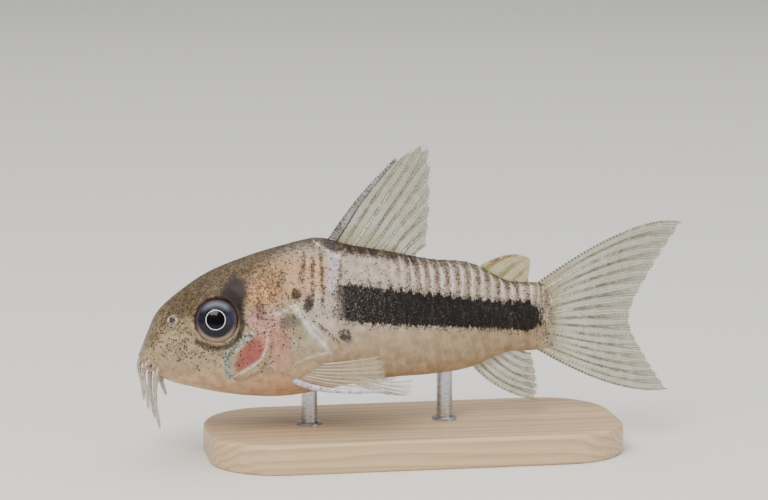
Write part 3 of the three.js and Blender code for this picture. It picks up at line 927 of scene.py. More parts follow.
@dataclass(frozen=True)
class Stripe:
    """The black flank stripe, by its upper and lower edges seen from the side."""

    top: tuple[Point2, ...] = (
        (-9.2, 17.6), (-7.07, 17.85), (-5.0, 17.45), (-1.99, 17.0), (0.09, 16.67), (3.21, 16.11),
        (6.37, 15.62), (8.5, 15.25), (11.6, 15.1), (12.6, 14.2),
    )
    bottom: tuple[Point2, ...] = (
        (-9.2, 14.7), (-6.25, 14.05), (-2.12, 13.6), (1.03, 13.24), (4.2, 12.92), (7.41, 12.64),
        (9.56, 12.38), (11.6, 12.0), (12.6, 12.5),
    )
    front: float = -9.2
    rear: float = 13.0
    tooth: float = 0.24
    tooth_peak: float = 0.8

    def inside(self, x: Array, z: Array, plate: Array) -> Array:
        """Measures how far each place lies inside the stripe, to which each plate gives a tooth.

        Args:
            x: the places along the fish.
            z: their heights.
            plate: their places counted in plates.

        Returns:
            The distance from the stripe's edge, negative outside it.
        """
        top = np.interp(x, *np.array(self.top).T)
        low = np.interp(x, *np.array(self.bottom).T)
        share = plate - np.floor(plate)
        saw = 2 * np.minimum(share / self.tooth_peak, (1 - share) / (1 - self.tooth_peak)) - 1
        tooth = self.tooth * saw * smooth(x, -8, -3)
        ends = np.minimum((x - self.front) * 0.3, (self.rear - x) * 0.5)
        return np.minimum(np.minimum(top + tooth - z, z - low + tooth * 0.25), ends)

    def ink(self, x: Array) -> Array:
        """How black the stripe is along the body, as it fades in behind the shoulder."""
        return 0.86 * smooth(x, -9.4, -7.4) + 0.14 * smooth(x, -6.0, 0.0)


@dataclass
class Skin:
    """One skin from snout to tail root, with raised plates, lips, nostrils and gill covers."""

    rings_per_section: int = 30
    half_columns: int = 104
    plate_pitch: float = 1.04
    first_plate: float = -9.6
    plate_count: int = 22
    plate_raise: float = 0.11
    gill: tuple[Point2, Point2, float] = ((-16.95, 11.3), (2.95, 1.6), 56.0)
    gill_raise: float = 0.2
    gill_groove: float = 0.12
    shoulder: tuple[Point2, Point2, float] = ((-11.15, 12.75), (2.9, 1.35), -60.0)
    shoulder_raise: float = 0.16
    nostril_at: Point2 = (-24.6, 14.48)
    nostril_radius: float = 0.4
    nostril_rim: float = 0.16
    nostril_depth: float = 0.28
    lip_raise: float = 0.24
    mouth_depth: float = 0.42
    socket_rim: float = 0.2
    socket_depth: float = 1.3
    snout_cap: float = 0.1
    tail_cap: float = 1.0
    cap_rings: int = 6
    eye: Eye = field(default_factory=Eye)
    stripe: Stripe = field(default_factory=Stripe)
    markings: Markings = field(default_factory=Markings)

    def places(self) -> tuple[Array, Array, Array]:
        """Spaces the skin's grid.

        Returns:
            The places of its rings along the body, and the angle and side of each column.
        """
        s = np.linspace(0, FORM.last, self.rings_per_section * FORM.last + 1)
        t = np.linspace(0, 1, self.half_columns // 2 + 1)
        lower = -((1 - t) ** 1.35) * math.pi / 2
        upper = (1 - (1 - t) ** 1.12) * math.pi / 2
        half = np.concatenate([lower, upper[1:]])
        angle = np.concatenate([half, half[1:-1][::-1]])
        side = np.concatenate([-np.ones(len(half)), np.ones(len(half) - 2)])
        return s, angle, side

    def plate_place(self, middle: Array, height: Array) -> Array:
        """Counts plates along the flank, with each row's rear edges rounded or swept back."""
        sweep = np.where(height > 0, 0.85 * np.sin(2.6 * height), 1.25 * np.sin(-1.9 * height))
        return (middle - self.first_plate - sweep * smooth(middle, 13.6, 12.2)) / self.plate_pitch

    def plate_lift(self, plate: Array, height: Array) -> Array:
        """Works out how far the bony plates stand proud.

        Args:
            plate: places counted in plates.
            height: how high up the side they are, from -1 on the belly to 1 on the back.

        Returns:
            The lift in each place.
        """
        upper = smooth(height, 0.0, 0.05) * smooth(height, 0.99, 0.9)
        lower = smooth(-height, 0.0, 0.05) * smooth(-height, 0.78, 0.62)
        share = plate - np.floor(plate)
        shape = share**1.3 * smooth(share, 1.0, 0.9)
        there = smooth(plate, -0.2, 0.3) * smooth(plate, self.plate_count + 0.2, self.plate_count - 0.4)
        return self.plate_raise * shape * np.where(height > 0, upper, lower) * there

    def mouth(self, s: Array, height: Array) -> tuple[Array, Array]:
        """How strongly each place belongs to the lips, and to the slit between them under the snout."""
        corner = smooth(height, -0.16, -0.34)
        off = s - (1.05 + 0.35 * smooth(height, -0.8, -0.25))
        return corner * bell(np.abs(off), 0.36, 0.2), corner * bell(off, 0.0, 0.13)

    def nostril_reach(self, p: Array) -> Array:
        """The distance from the nearer nostril, in nostril radii."""
        centres = [FORM.flank(*self.nostril_at, side) for side in Side]
        return np.min([np.linalg.norm(p - c, axis=-1) for c in centres], axis=0) / self.nostril_radius

    def lift(self, p: Array, s: Array, height: Array, plate: Array) -> Array:
        """Works out all that stands proud of the smooth form or sinks into it.

        Args:
            p: points of the smooth form.
            s: their places along the body.
            height: how high up the side they count, from -1 on the belly to 1 on the back.
            plate: their places counted in plates.

        Returns:
            The lift of each point along the normal.
        """
        x, z = p[..., 0], p[..., 2]
        evened = 0.6 * smooth(self.stripe.inside(x, z, plate), -0.2, 0.4)
        total = self.plate_lift(plate, height) * (1 - evened)
        gill = reach_of_oval(x, z, *self.gill)
        total += self.gill_raise * smooth(gill, 1.02, 0.86) - self.gill_groove * bell(gill, 1.08, 0.05)
        total += self.shoulder_raise * smooth(reach_of_oval(x, z, *self.shoulder), 1.05, 0.85)
        marks = self.markings
        folds = (
            (marks.shoulder_ridge, 0.09, 0.3, 0.05),
            (marks.nape, 0.08, 0.3, 0.05),
            (marks.preopercle, 0.06, 0.4, 0.1),
            (marks.shoulder_seam, -0.07, 0.22, 0.0),
        )
        for line, rise, foot, crest in folds:
            total += rise * smooth(reach_of_line(x, z, line), foot, crest)
        nostril = self.nostril_reach(p)
        total += self.nostril_rim * bell(nostril, 1.05, 0.32)
        total -= self.nostril_depth * smooth(nostril, 0.8, 0.4)
        lips, slit = self.mouth(s, height)
        return total + self.lip_raise * lips - self.mouth_depth * slit

    def set_eyes(self, p: Array) -> Array:
        """Flattens the skin round each eye, sinks a socket and raises a rim.

        Args:
            p: points of the skin.

        Returns:
            The points, moved where they lie near an eye.
        """
        for side in Side:
            centre, out, _, _ = self.eye.axes(side)
            rel = p - centre
            rise = rel @ out
            reach = np.linalg.norm(rel - rise[..., None] * out, axis=-1)
            here = (p[..., 1] * side.value > 0) & (reach < 4.0)
            shape = self.socket_rim * bell(reach, 2.4, 0.2) - self.socket_depth * smooth(reach, 2.2, 1.9)
            change = (shape + rise * smooth(reach, 2.3, 3.6) - rise) * smooth(reach, 3.6, 2.9)
            p = p + np.where(here, change, 0.0)[..., None] * out
        return p

    def colours(self, p: Array, s: Array, height: Array, angle: Array) -> Array:
        """Works out the skin's ground colour before stripe and speckles, with painted highlights along the
        ridges and painted shade in the mouth slit and nostril pits.

        Args:
            p: points of the smooth form.
            s: their places along the body.
            height: how high up the side they count, from -1 on the belly to 1 on the back.
            angle: the same, not evened out at the snout.

        Returns:
            A linear colour for each point.
        """
        m = self.markings
        x, z = p[..., 0], p[..., 2]

        def over(ground: Array, *layers: tuple[Colour, Array]) -> Array:
            """Lays colours over the ground one after another, each by its own share."""
            for colour, share in layers:
                ground = ground + (np.array(linear(colour)[:3]) - ground) * share[..., None]
            return ground

        plain, full = np.zeros((*x.shape, 3)), np.ones(x.shape)
        trunk = over(
            plain,
            (m.belly, full),
            (m.belly_tail, smooth(x, -2, 9)),
            (m.silver, smooth(height, -0.16, 0.1)),
            (m.back, smooth(height, 0.62, 0.95)),
        )
        crown = (0.3 + 0.7 * smooth(x, -27.4, -23.0)) * smooth(height, 0.2, 0.62)
        head = over(plain, (m.throat, full), (m.cheek, smooth(height, -0.45, -0.1)), (m.crown, crown))
        ground = head + (trunk - head) * smooth(x + 1.5 * height, -14.5, -10.5)[..., None]
        nostril = self.nostril_reach(p)
        lips, slit = self.mouth(s, angle)
        return over(
            ground,
            *((colour, mark.mask(x, z)) for colour, mark in m.marks()),
            (m.nostril_rim, 0.8 * smooth(nostril, 1.6, 1.2)),
            # Painted shade in the nostril pits and in the slit between the lips.
            (m.nostril_pit, 0.9 * smooth(nostril, 0.9, 0.6)),
            (m.lip, 0.75 * lips),
            (m.mouth_line, 0.9 * slit),
            (m.tail_root, smooth(x, 12.2, 14.4)),
        )

    def speckles(self, x: Array, z: Array, height: Array, plate: Array) -> Array:
        """Works out how many of the dark dots show in each place.

        Args:
            x: the places along the fish.
            z: their heights.
            height: how high up the side they count, from -1 on the belly to 1 on the back.
            plate: their places counted in plates.

        Returns:
            The share of the dots that show, from 0 to 1.
        """
        head = 0.85 * smooth(height, 0.25, 0.55)
        head += 0.32 * smooth(height, -0.3, 0.1) * smooth(height, 0.6, 0.3)
        head *= (1 - 0.45 * smooth(x, -16.5, -13)) * (0.55 + 0.45 * smooth(x, -27.4, -24.0))
        share = plate - np.floor(plate)
        rows = smooth(share, 0.05, 0.35) * smooth(share, 0.8, 0.5)
        rows *= smooth(height, 0.36, 0.6) * smooth(x, -4.0, 0.0) * smooth(x, 12.5, 9.0)
        trunk = 0.75 * smooth(height, 0.66, 0.9) + 0.1 * smooth(height, 0.0, 0.2) + 0.75 * rows
        total = head + (trunk - head) * smooth(x + 1.5 * height, -14.0, -11.5)
        total += 0.6 * smooth(self.stripe.inside(x, z, plate), -0.7, -0.05) * smooth(x, -9.5, -7)
        total = np.maximum(total, 0.9 * self.markings.clumps(x, z))
        total = np.maximum(total, 0.3 * smooth(x, 12.0, 13.4))
        for clear_x, clear_z in ((-17.3, 11.5), (-14.2, 11.0)):
            total *= 1 - 0.8 * smooth(np.hypot(x - clear_x, z - clear_z), 1.6, 0.6)
        return np.clip(total, 0, 1)

    def bars(self, x: Array, height: Array) -> Array:
        """How clearly each plate's pale rear edge shows."""
        upper = smooth(height, 0.2, 0.35) * smooth(height, 1.0, 0.8) * (0.25 + 0.75 * smooth(x, -4, 2))
        lower = 0.13 * smooth(height, -0.05, -0.15) * smooth(height, -0.75, -0.5)
        return (upper + lower) * smooth(x, -9, -6)

    def cap(self, ring: Array, reach: float) -> list[Array]:
        """The rings of the rounded end beyond the first or last ring, from it outwards."""
        middle = ring.mean(axis=0)
        shares = np.arange(1, self.cap_rings + 1) / (self.cap_rings + 1)
        return [middle + (ring - middle) * math.sqrt(1 - k**2) + (reach * k, 0.0, 0.0) for k in shares]

    def build(self) -> Object:
        """Builds the skin.

        Returns:
            The skin, with everything noted on it that its material reads.
        """
        s, angle, side = self.places()
        s, angle = np.meshgrid(s, angle, indexing="ij")
        form = FORM.points(s, angle, np.broadcast_to(side, s.shape))
        height = angle / (math.pi / 2)
        middle = FORM.middle_x(s)
        plate = self.plate_place(middle, height)
        form[..., 1] *= 1 - 0.85 * smooth(middle, 12.0, 14.2)
        x, z = form[..., 0], form[..., 2]
        tone = height + (np.clip((z - 10.0) / 4.5, -1, 1) - height) * smooth(x, -26.0, -27.2)
        along = np.gradient(form, axis=0)
        around = np.roll(form, -1, axis=1) - np.roll(form, 1, axis=1)
        normal = unit(np.cross(around, along))
        core = form.mean(axis=1, keepdims=True)
        normal = np.where(((form - core) * normal).sum(-1, keepdims=True) < 0, -normal, normal)
        p = self.set_eyes(form + normal * self.lift(form, s, height, plate)[..., None])
        rows = np.array([*self.cap(p[0], -self.snout_cap)[::-1], *p, *self.cap(p[-1], self.tail_cap)])
        points = np.vstack([rows.reshape(-1, 3), rows[0].mean(axis=0), rows[-1].mean(axis=0)])
        faces = [tuple(reversed(f)) for f in tipped_faces(*rows.shape[:2])]
        made = make_object("skin", points, faces)

        def spread(values: Array) -> Array:
            """Carries the first and last ring's values on to the caps and tips."""
            rings = [[values[0]] * self.cap_rings, values, [values[-1]] * self.cap_rings]
            flat = np.concatenate(rings).reshape(-1, *values.shape[2:])
            return np.concatenate([flat, flat[:1], flat[-1:]])

        note_colours(made, "ground", spread(self.colours(form, s, tone, height)))
        note(
            made,
            stripe=spread(self.stripe.inside(x, z, plate)),
            ink=spread(self.stripe.ink(x)),
            speck=spread(self.speckles(x, z, tone, plate)),
            clump=spread(self.markings.clumps(x, z)),
            plate=spread(plate),
            bars=spread(self.bars(x, height)),
            tailward=points[:, 0],
        )
        return made


@dataclass(frozen=True)
class SkinFinish:
    """Wet skin: soft ground colour, toothed black stripe, pale plate edges and dark speckles."""

    ink: Colour = (3, 2, 3)
    ink_soft: Colour = (30, 26, 32)
    ink_grain: Colour = (74, 68, 66)
    speck: Colour = (30, 22, 17)
    clump: Colour = (48, 36, 28)
    bar: Colour = (222, 210, 200)
    between: Colour = (134, 112, 92)
    cloud_dark: Colour = (205, 200, 196)
    cloud_light: Colour = (255, 255, 255)

    def plates(self, paint: Paint) -> Wire:
        """Works out the ground under stripe and speckles.

        Args:
            paint: the material's graph.

        Returns:
            The clouded colour with the plates' pale edges and the darker rows between.
        """
        cloud = paint.step(paint.noise(1.1, detail=4.0), 0.3, 0.7)
        shade = paint.blend(cloud, self.cloud_dark, self.cloud_light)
        ground = paint.blend(0.8, paint.noted("ground").output(0), shade, mode="MULTIPLY")
        share = paint.math("FRACT", paint.noted("plate"))
        bars = paint.noted("bars")
        dip = paint.step(share, 0.05, 0.35) * paint.step(share, 0.75, 0.5)
        edge = paint.step(share, 0.66, 0.9) * paint.step(share, 1.0, 0.95)
        return paint.layers(ground, (dip * (bars * 0.7), self.between), (edge * (bars * 0.75), self.bar))

    def stripe(self, paint: Paint) -> tuple[Wire, Wire]:
        """Works out the black stripe.

        Args:
            paint: the material's graph.

        Returns:
            Its mask, ragged at the edges, and its streaked colour.
        """
        rough = (paint.noise(5.5, detail=3.0, stretch=(1.0, 1.0, 0.3)) - 0.5) * 1.15
        broad = (paint.noise(1.3) - 0.5) * 0.5
        inside = paint.step(paint.noted("stripe") + (rough + broad), -0.1, 0.14)
        grain = paint.step(paint.noise(6.0), 0.28, 0.62)
        ink = paint.noted("ink")
        streaks = paint.step(paint.noise(3.6, detail=4.0, stretch=(1.0, 1.0, 0.22)), 0.48, 0.7)
        paler = ((1.16 - ink) * 2.6).clamped()
        colour = paint.layers(self.ink_soft, (ink, self.ink), (streaks * paler, self.ink_grain))
        return inside * (ink * (0.84 + grain * 0.4)).clamped(), colour

    def pigment(self, paint: Paint) -> tuple[Wire, Wire]:
        """Works out the dark pigment.

        Args:
            paint: the material's graph.

        Returns:
            The masks of the clumps and of the fine and coarse dots.
        """
        clump = paint.step(paint.noise(2.4, detail=5.0) + paint.noted("clump") * 0.28, 0.66, 0.76)
        cluster = paint.step(paint.noise(2.0, detail=3.0), 0.36, 0.62)
        density = paint.noted("speck") * (0.45 + cluster * 0.95)
        fine = paint.dots(8.0, 0.74, density * 1.15)
        coarse = paint.dots(4.8, 0.68, density * 0.75)
        return clump * 0.5, paint.math("MAXIMUM", fine * 0.75, coarse) * 0.82

    def material(self) -> Material:
        """Makes the material.

        Returns:
            The finished material.
        """
        paint = Paint(
            "skin", Coat_Weight=0.06, Coat_Roughness=0.28, Subsurface_Weight=0.12,
            Subsurface_Radius=(0.7, 0.45, 0.3), Subsurface_Scale=0.0007, Specular_IOR_Level=0.16,
        )
        clump, dots = self.pigment(paint)
        ground, stripe = self.plates(paint), self.stripe(paint)
        paint.give("Base Color", paint.layers(ground, stripe, (clump, self.clump), (dots, self.speck)))
        paint.give("Alpha", (1.0 - paint.step(paint.noted("tailward"), 13.5, 15.1)).clamped())
        paint.roughen(least=0.34, spread=0.22)
        paint.bump(FINE_BUMPS.placed(paint, 0.35, 0.65), strength=0.5, deep=0.05)
        return paint.material


# Fins


@dataclass(frozen=True)
class FinShape:
    """A fin as a fan between its root, middle and tip lines."""

    name: str
    nodes: tuple[str, ...]
    root: tuple[Point3, ...]
    middle: tuple[Point3, ...]
    tip: tuple[Point3, ...]
    rays: int
    ray_radius: float = 0.1
    splits: int = 2
    notch: float = 0.03
    ripple: float = 0.05
    spine: tuple[Point3, ...] = ()
    spine_radius: Point2 = (0.0, 0.0)
    first_ray: int = 0
    edge_ink: float = 0.0
    mirrored: bool = False


def upright(*points: Point2) -> tuple[Point3, ...]:
    """Points on the midline from their x and z."""
    return tuple((x, 0.0, z) for x, z in points)


@dataclass
class Fin:
    """Builds a fin's membrane, its branching rays and its spine."""

    shape: FinShape
    side: Side
    seed: int
    rows: int = 56
    per_ray: int = 8
    membrane: float = 0.07
    ray_points: int = 16
    overlap: float = 0.01
    spine_points: int = 90

    def __post_init__(self) -> None:
        """Mirrors a right fin's lines and seeds its small differences."""
        self.flip = np.array([1.0, -1.0 if self.side is Side.RIGHT else 1.0, 1.0])
        lines = (self.shape.root, self.shape.middle, self.shape.tip)
        self.lines = [np.array(line) * self.flip for line in lines]
        self.draw = random.Random(self.seed)
        self.suffix = "_" + self.side.word if self.shape.mirrored else ""

    def at(self, u: Array, v: Array) -> Array:
        """The fan's point at u across it and v from root to tip."""
        a, b, c = (through(line, u) for line in self.lines)
        w = np.asarray(v)[..., None]
        return a * (1 - w) ** 2 + b * 2 * w * (1 - w) + c * w**2

    def normal(self, u: Array, v: Array) -> Array:
        """The fan's normal there."""
        step = 0.02
        across = self.at(np.clip(u + step, 0, 1), v) - self.at(np.clip(u - step, 0, 1), v)
        along = self.at(u, np.clip(v + step, 0, 1)) - self.at(u, np.clip(v - step, 0, 1))
        return unit(np.cross(across, along))

    def placed(self, u: Array, v: Array, lift: Array | float = 0.0) -> Array:
        """The fan's point, slightly rippled and lifted along its normal, so that it isn't a flat sheet."""
        bend = np.sin(2.1 * math.pi * u + 0.8) * v**1.5 + 0.4 * np.sin(5.2 * u + 4.0 * v)
        return self.at(u, v) + self.normal(u, v) * (self.shape.ripple * bend + lift)[..., None]

    def build_membrane(self) -> Object:
        """Builds the closed thin skin between the rays.

        Returns:
            The membrane, with each vertex's reach outwards and its place among the rays noted on it.
        """
        gaps = self.shape.rays - 1
        columns = gaps * self.per_ray + 1
        u = np.linspace(0, 1, columns)
        length = 1 - self.shape.notch * np.abs(np.sin(math.pi * u * gaps)) - 0.012
        grid_u, grid_t = np.meshgrid(u, np.linspace(0, 1, self.rows), indexing="ij")
        grid_v = grid_t * length[:, None]
        ruffle = 0.03 * np.cos(4 * math.pi * grid_u * gaps)
        thick = self.membrane / 2 * (1 - 0.5 * grid_t)
        points = [self.placed(grid_u, grid_v, ruffle + sign * thick).reshape(-1, 3) for sign in (1, -1)]
        count = columns * self.rows
        faces = [tuple(reversed(f)) for f in grid_faces(columns, self.rows)]
        faces += grid_faces(columns, self.rows, first=count)
        index = np.arange(count).reshape(columns, self.rows)
        rim = np.concatenate([index[:, 0], index[-1, 1:], index[-2::-1, -1], index[0, -2:0:-1]]).tolist()
        faces += [(b, a, count + a, count + b) for a, b in zip(rim, rim[1:] + rim[:1])]
        made = make_object(self.shape.name + "_membrane" + self.suffix, np.vstack(points), faces)
        note(made, out=np.tile(grid_v.ravel(), 2), fan=np.tile(grid_u.ravel() * gaps, 2))
        return made

    def add_ray(self, bundle: TubeBundle, k: int) -> None:
        """Adds a ray, which forks and forks again towards the fin's edge unless it is an outermost one.

        Args:
            bundle: the tubes that it joins.
            k: its number, from 0 at the fin's front.
        """
        edge = k in (0, self.shape.rays - 1)
        gap = 1 / (self.shape.rays - 1)
        first = self.draw.uniform(0.26, 0.4)
        second = first + self.draw.uniform(0.18, 0.3)
        phase = self.draw.uniform(0, 10)
        end = 1.0 if edge else self.draw.uniform(0.985, 1.0)
        tone = 0.5 + 0.5 * math.sin(2.4 * k + 3.05)
        forks = [] if edge else [first, second][: self.shape.splits]
        begins = [0.0, *(f - self.overlap for f in forks)]
        stops = [*(f + self.overlap for f in forks), end]
        for level, (begin, stop) in enumerate(zip(begins, stops)):
            v = np.linspace(begin, stop, self.ray_points)
            thick = self.shape.ray_radius * (1 - 0.45 * v) * 0.74**level * (1.2 if edge else 1)
            ink = self.shape.edge_ink * smooth(v, 0.75, 0.25) * edge
            for branch in range(2**level):
                u = np.full(v.shape, k * gap)
                for depth, fork in enumerate(forks[:level]):
                    sign = 1 if (branch >> depth) & 1 else -1
                    u += sign * gap * (0.24 / (depth + 1)) * smooth(v, fork, 1.05)
                line = self.placed(np.clip(u, 0, 1), v)
                run = np.concatenate([[0], np.cumsum(np.linalg.norm(np.diff(line, axis=0), axis=1))])
                bundle.add(line, thick, out=v, run=run + phase + branch * 0.13, tone=tone, edge=ink)

    def build_rays(self) -> Object:
        """Builds the branching rays in one mesh."""
        bundle = TubeBundle(6)
        for k in range(self.shape.first_ray, self.shape.rays):
            self.add_ray(bundle, k)
        return bundle.build(self.shape.name + "_rays" + self.suffix)

    def build_spine(self) -> Object:
        """Builds the stout spine at the fin's front edge, with a saw of small teeth behind.

        Returns:
            The spine.
        """
        t = np.linspace(0, 1, self.spine_points)
        line = through(np.array(self.shape.spine) * self.flip, t)
        thick, point = self.shape.spine_radius
        teeth = 1 + 0.1 * np.abs(np.sin(t * 60)) * smooth(t, 0.15, 0.3)
        bundle = TubeBundle(14)
        bundle.add(line, (thick + (point - thick) * t) * teeth, flat=0.7, out=t, run=t * 10)
        return bundle.build(self.shape.name + "_spine" + self.suffix)

    def build(self, membrane: Material, ray: Material, spine: Material) -> None:
        """Builds and dresses the fin.

        Args:
            membrane: the finish of the thin skin.
            ray: the finish of the rays.
            spine: the finish of the spine.
        """
        settle(self.build_membrane(), membrane, "fin", *(n + self.suffix for n in self.shape.nodes))
        if self.shape.first_ray < self.shape.rays:
            settle(self.build_rays(), ray, "fin")
        if self.shape.spine:
            settle(self.build_spine(), spine, "fin")


DORSAL = FinShape(
    "dorsal", ("dorsal_fin",),
    upright((-8.6, 20.4), (-6.0, 20.1), (-3.5, 19.7), (-0.7, 18.9)),
    upright((-5.3, 26.3), (-2.1, 25.4), (-1.0, 23.0), (0.2, 20.4)),
    upright((-1.85, 29.6), (1.4, 30.95), (1.75, 25.8), (1.3, 20.9)),
    rays=9, ray_radius=0.12, notch=0.05, first_ray=1,
    spine=upright((-8.9, 20.6), (-6.85, 23.6), (-4.95, 26.2), (-1.8, 29.65)), spine_radius=(0.55, 0.15),
)
ADIPOSE = FinShape(
    "adipose", ("adipose_fin",),
    upright((6.5, 17.7), (9.0, 16.4), (11.4, 15.9)),
    upright((9.0, 19.85), (10.2, 18.0), (11.9, 17.3)),
    upright((11.0, 19.6), (12.0, 19.1), (11.75, 17.0)),
    rays=4, notch=0.0, ripple=0.04, first_ray=4,
    spine=upright((6.4, 17.9), (7.5, 18.75), (9.3, 19.45), (10.7, 19.6)), spine_radius=(0.3, 0.1),
)
CAUDAL = FinShape(
    "caudal", ("caudal_fin_upper_lobe", "caudal_fin_lower_lobe"),
    upright((11.6, 15.9), (12.5, 14.6), (12.8, 13.0), (12.5, 11.6), (11.9, 10.5)),
    upright((23.0, 23.9), (20.0, 18.1), (18.2, 13.0), (19.3, 9.0), (21.2, 4.6)),
    upright((27.75, 22.5), (24.9, 18.1), (22.5, 13.0), (24.2, 8.8), (26.5, 5.35)),
    rays=17, notch=0.02, ripple=0.12, edge_ink=0.9,
)
ANAL = FinShape(
    "anal", ("anal_fin",),
    upright((5.6, 9.2), (7.4, 10.0), (9.5, 10.7)),
    upright((8.2, 5.6), (10.2, 6.9), (11.2, 9.5)),
    upright((12.9, 4.65), (12.8, 6.9), (12.2, 9.5)),
    rays=7, ray_radius=0.12, notch=0.04,
)
PECTORAL = FinShape(
    "pectoral", ("pectoral_fin",),
    ((-13.3, -4.0, 8.8), (-12.2, -4.3, 9.3), (-11.3, -4.4, 9.9)),
    ((-9.2, -7.3, 7.7), (-8.4, -6.7, 8.9), (-7.7, -5.9, 10.3)),
    ((-4.5, -8.4, 7.85), (-4.2, -7.6, 9.4), (-4.5, -6.2, 10.9)),
    rays=8, ray_radius=0.08, notch=0.05, first_ray=1, mirrored=True,
    spine=((-13.6, -3.9, 8.75), (-11.2, -5.9, 8.0), (-8.0, -7.4, 7.75), (-4.4, -8.4, 7.85)),
    spine_radius=(0.34, 0.14),
)
PELVIC = FinShape(
    "pelvic", ("pelvic_fin",),
    ((-7.3, -1.9, 8.0), (-6.7, -2.5, 8.1), (-6.3, -3.1, 8.3)),
    ((-5.1, -3.0, 6.7), (-3.8, -3.7, 6.9), (-3.4, -4.0, 7.5)),
    ((-2.9, -3.2, 6.35), (-1.0, -4.0, 6.5), (-0.8, -4.3, 8.0)),
    rays=6, ray_radius=0.09, splits=1, notch=0.05, mirrored=True,
)


@dataclass(frozen=True)
class MembraneFinish:
    """See-through fin skin, more solid at the root, with darker streaks beside the rays."""

    name: str = "fin_membrane"
    colour: Colour = (150, 146, 108)
    shade: Colour = (70, 66, 46)
    root: Colour = (184, 172, 138)
    cover: float = 0.34
    root_cover: float = 0.5
    streak_cover: float = 0.32

    def material(self) -> Material:
        """Makes the material.

        Returns:
            The finished material.
        """
        paint = Paint(self.name, Coat_Weight=0.3, Coat_Roughness=0.2)
        out, fan = paint.noted("out"), paint.noted("fan")
        near = paint.step(out, 0.3, 0.02)
        beside = paint.math("ABSOLUTE", paint.math("SINE", fan * math.pi))
        inner = paint.step(beside, 0.8, 0.3) * paint.step(out, 1.15, 0.5)
        strands = paint.math("SINE", fan * (8 * math.pi))
        outer = paint.step(strands, -0.3, 0.9) * paint.step(out, 0.3, 0.6, top=0.5)
        streak = paint.math("MAXIMUM", inner, outer) * paint.step(paint.noise(1.1), 0.25, 0.6)
        cover = self.cover + (paint.noise(1.4) - 0.5) * 0.2
        alpha = (cover + streak * self.streak_cover + near * self.root_cover).clamped()
        paint.give("Base Color", paint.layers(self.colour, (streak, self.shade), (near, self.root)))
        paint.give("Alpha", alpha)
        paint.give("Roughness", 0.3 + paint.noise(3.0))
        paint.fine_bumps()
        return paint.material


@dataclass(frozen=True)
class RayFinish:
    """Pale jointed rays with fine dark dashes along them."""

    name: str = "fin_rays"
    colour: Colour = (226, 220, 194)
    dim: Colour = (176, 168, 134)
    tip: Colour = (178, 170, 134)
    dash: Colour = (40, 34, 26)
    joints_per_mm: float = 2.7
    cover: float = 0.95
    inked: float = 1.0

    def material(self) -> Material:
        """Makes the material.

        Returns:
            The finished material.
        """
        paint = Paint(self.name, Coat_Weight=0.3, Coat_Roughness=0.2)
        out, edge, tone = paint.noted("out"), paint.noted("edge"), paint.noted("tone")
        joint = paint.math("FRACT", paint.noted("run") * self.joints_per_mm)
        dash = paint.step(joint, 0.42, 0.52) * paint.step(joint, 1.0, 0.9)
        dash = dash * paint.step(paint.noise(2.6) + edge * 0.2, 0.42, 0.56)
        colour = paint.layers(
            self.dim,
            (tone, self.colour),
            (paint.step(out, 0.3, 1.0, top=0.8), self.tip),
            (dash * (0.65 * self.inked + edge * 0.3), self.dash),
        )
        paint.give("Base Color", colour)
        cover = self.cover - paint.step(out, 0.3, 1.0, top=0.4 * self.cover)
        paint.give("Alpha", cover * (0.72 + tone * 0.28))
        paint.roughen(least=0.25, spread=0.3)
        return paint.material


@dataclass(frozen=True)
class SpineFinish:
    """Hard translucent spine with scattered dark dots, and on some dark bars down both edges."""

    name: str
    colour: Colour
    shade: Colour
    density: float
    edging: float = 0.0
    edge: Colour = (58, 48, 46)
    dot: Colour = (48, 42, 38)

    def material(self) -> Material:
        """Makes the material.

        Returns:
            The finished material.
        """
        paint = Paint(
            self.name, Coat_Weight=0.5, Coat_Roughness=0.12, Subsurface_Weight=0.2, Subsurface_Scale=0.0004
        )
        cloud = paint.step(paint.noise(2.2, detail=3.0), 0.35, 0.65)
        front = paint.noted("front")
        bars = paint.math("SINE", paint.noted("run") * 26.0)
        leading = paint.step(front, 0.2, 0.55) * paint.step(bars, -0.6, 0.2)
        edging = paint.math("MAXIMUM", leading, paint.step(front, -0.35, -0.75)) * self.edging
        dots = paint.dots(4.4, 0.5, self.density) * 0.85
        colour = paint.layers(self.shade, (cloud, self.colour), (edging, self.edge), (dots, self.dot))
        paint.give("Base Color", colour)
        paint.roughen(least=0.2, spread=0.25)
        paint.fine_bumps()
        return paint.material


# Barbels


@dataclass(frozen=True)
class Barbel:
    """A tapering feeler on the fish's left; the right one mirrors it."""

    name: str
    points: tuple[Point3, ...]
    thick: float
    point: float = 0.13
    flare: float = 0.22

    def build(self, side: Side) -> Object:
        """Builds the feeler with a flared root and a slightly lumpy surface.

        Args:
            side: the side of the fish that it hangs on.

        Returns:
            The feeler.
        """
        t = np.linspace(0, 1, 70)
        line = through(np.array(self.points) * (1.0, -side.value, 1.0), t)
        radius = self.thick + (self.point - self.thick) * t**0.8
        radius = radius * (1 + 0.05 * np.sin(t * 70)) + self.flare * smooth(t, 0.22, 0.0)
        radius[-4:] *= (0.9, 0.75, 0.5, 0.2)
        bundle = TubeBundle(14)
        bundle.add(line, radius, out=t)
        return bundle.build(self.name + "_barbel_skin_" + side.word)


BARBELS = (
    Barbel(
        "front",
        (
            (-26.3, -1.5, 10.6), (-27.2, -2.1, 9.9), (-27.45, -2.25, 8.9), (-27.15, -2.3, 7.3),
            (-27.0, -2.4, 5.6),
        ),
        thick=0.36,
    ),
    Barbel(
        "rear",
        (
            (-25.6, -1.6, 10.3), (-26.15, -2.5, 9.2), (-26.35, -2.6, 8.0), (-26.3, -2.5, 6.0),
            (-25.9, -2.6, 3.6),
        ),
        thick=0.4,
    ),
    Barbel(
        "chin",
        ((-25.2, -0.8, 9.4), (-25.55, -0.95, 8.3), (-25.35, -1.05, 7.5), (-25.1, -1.1, 6.7)),
        thick=0.3,
    ),
)


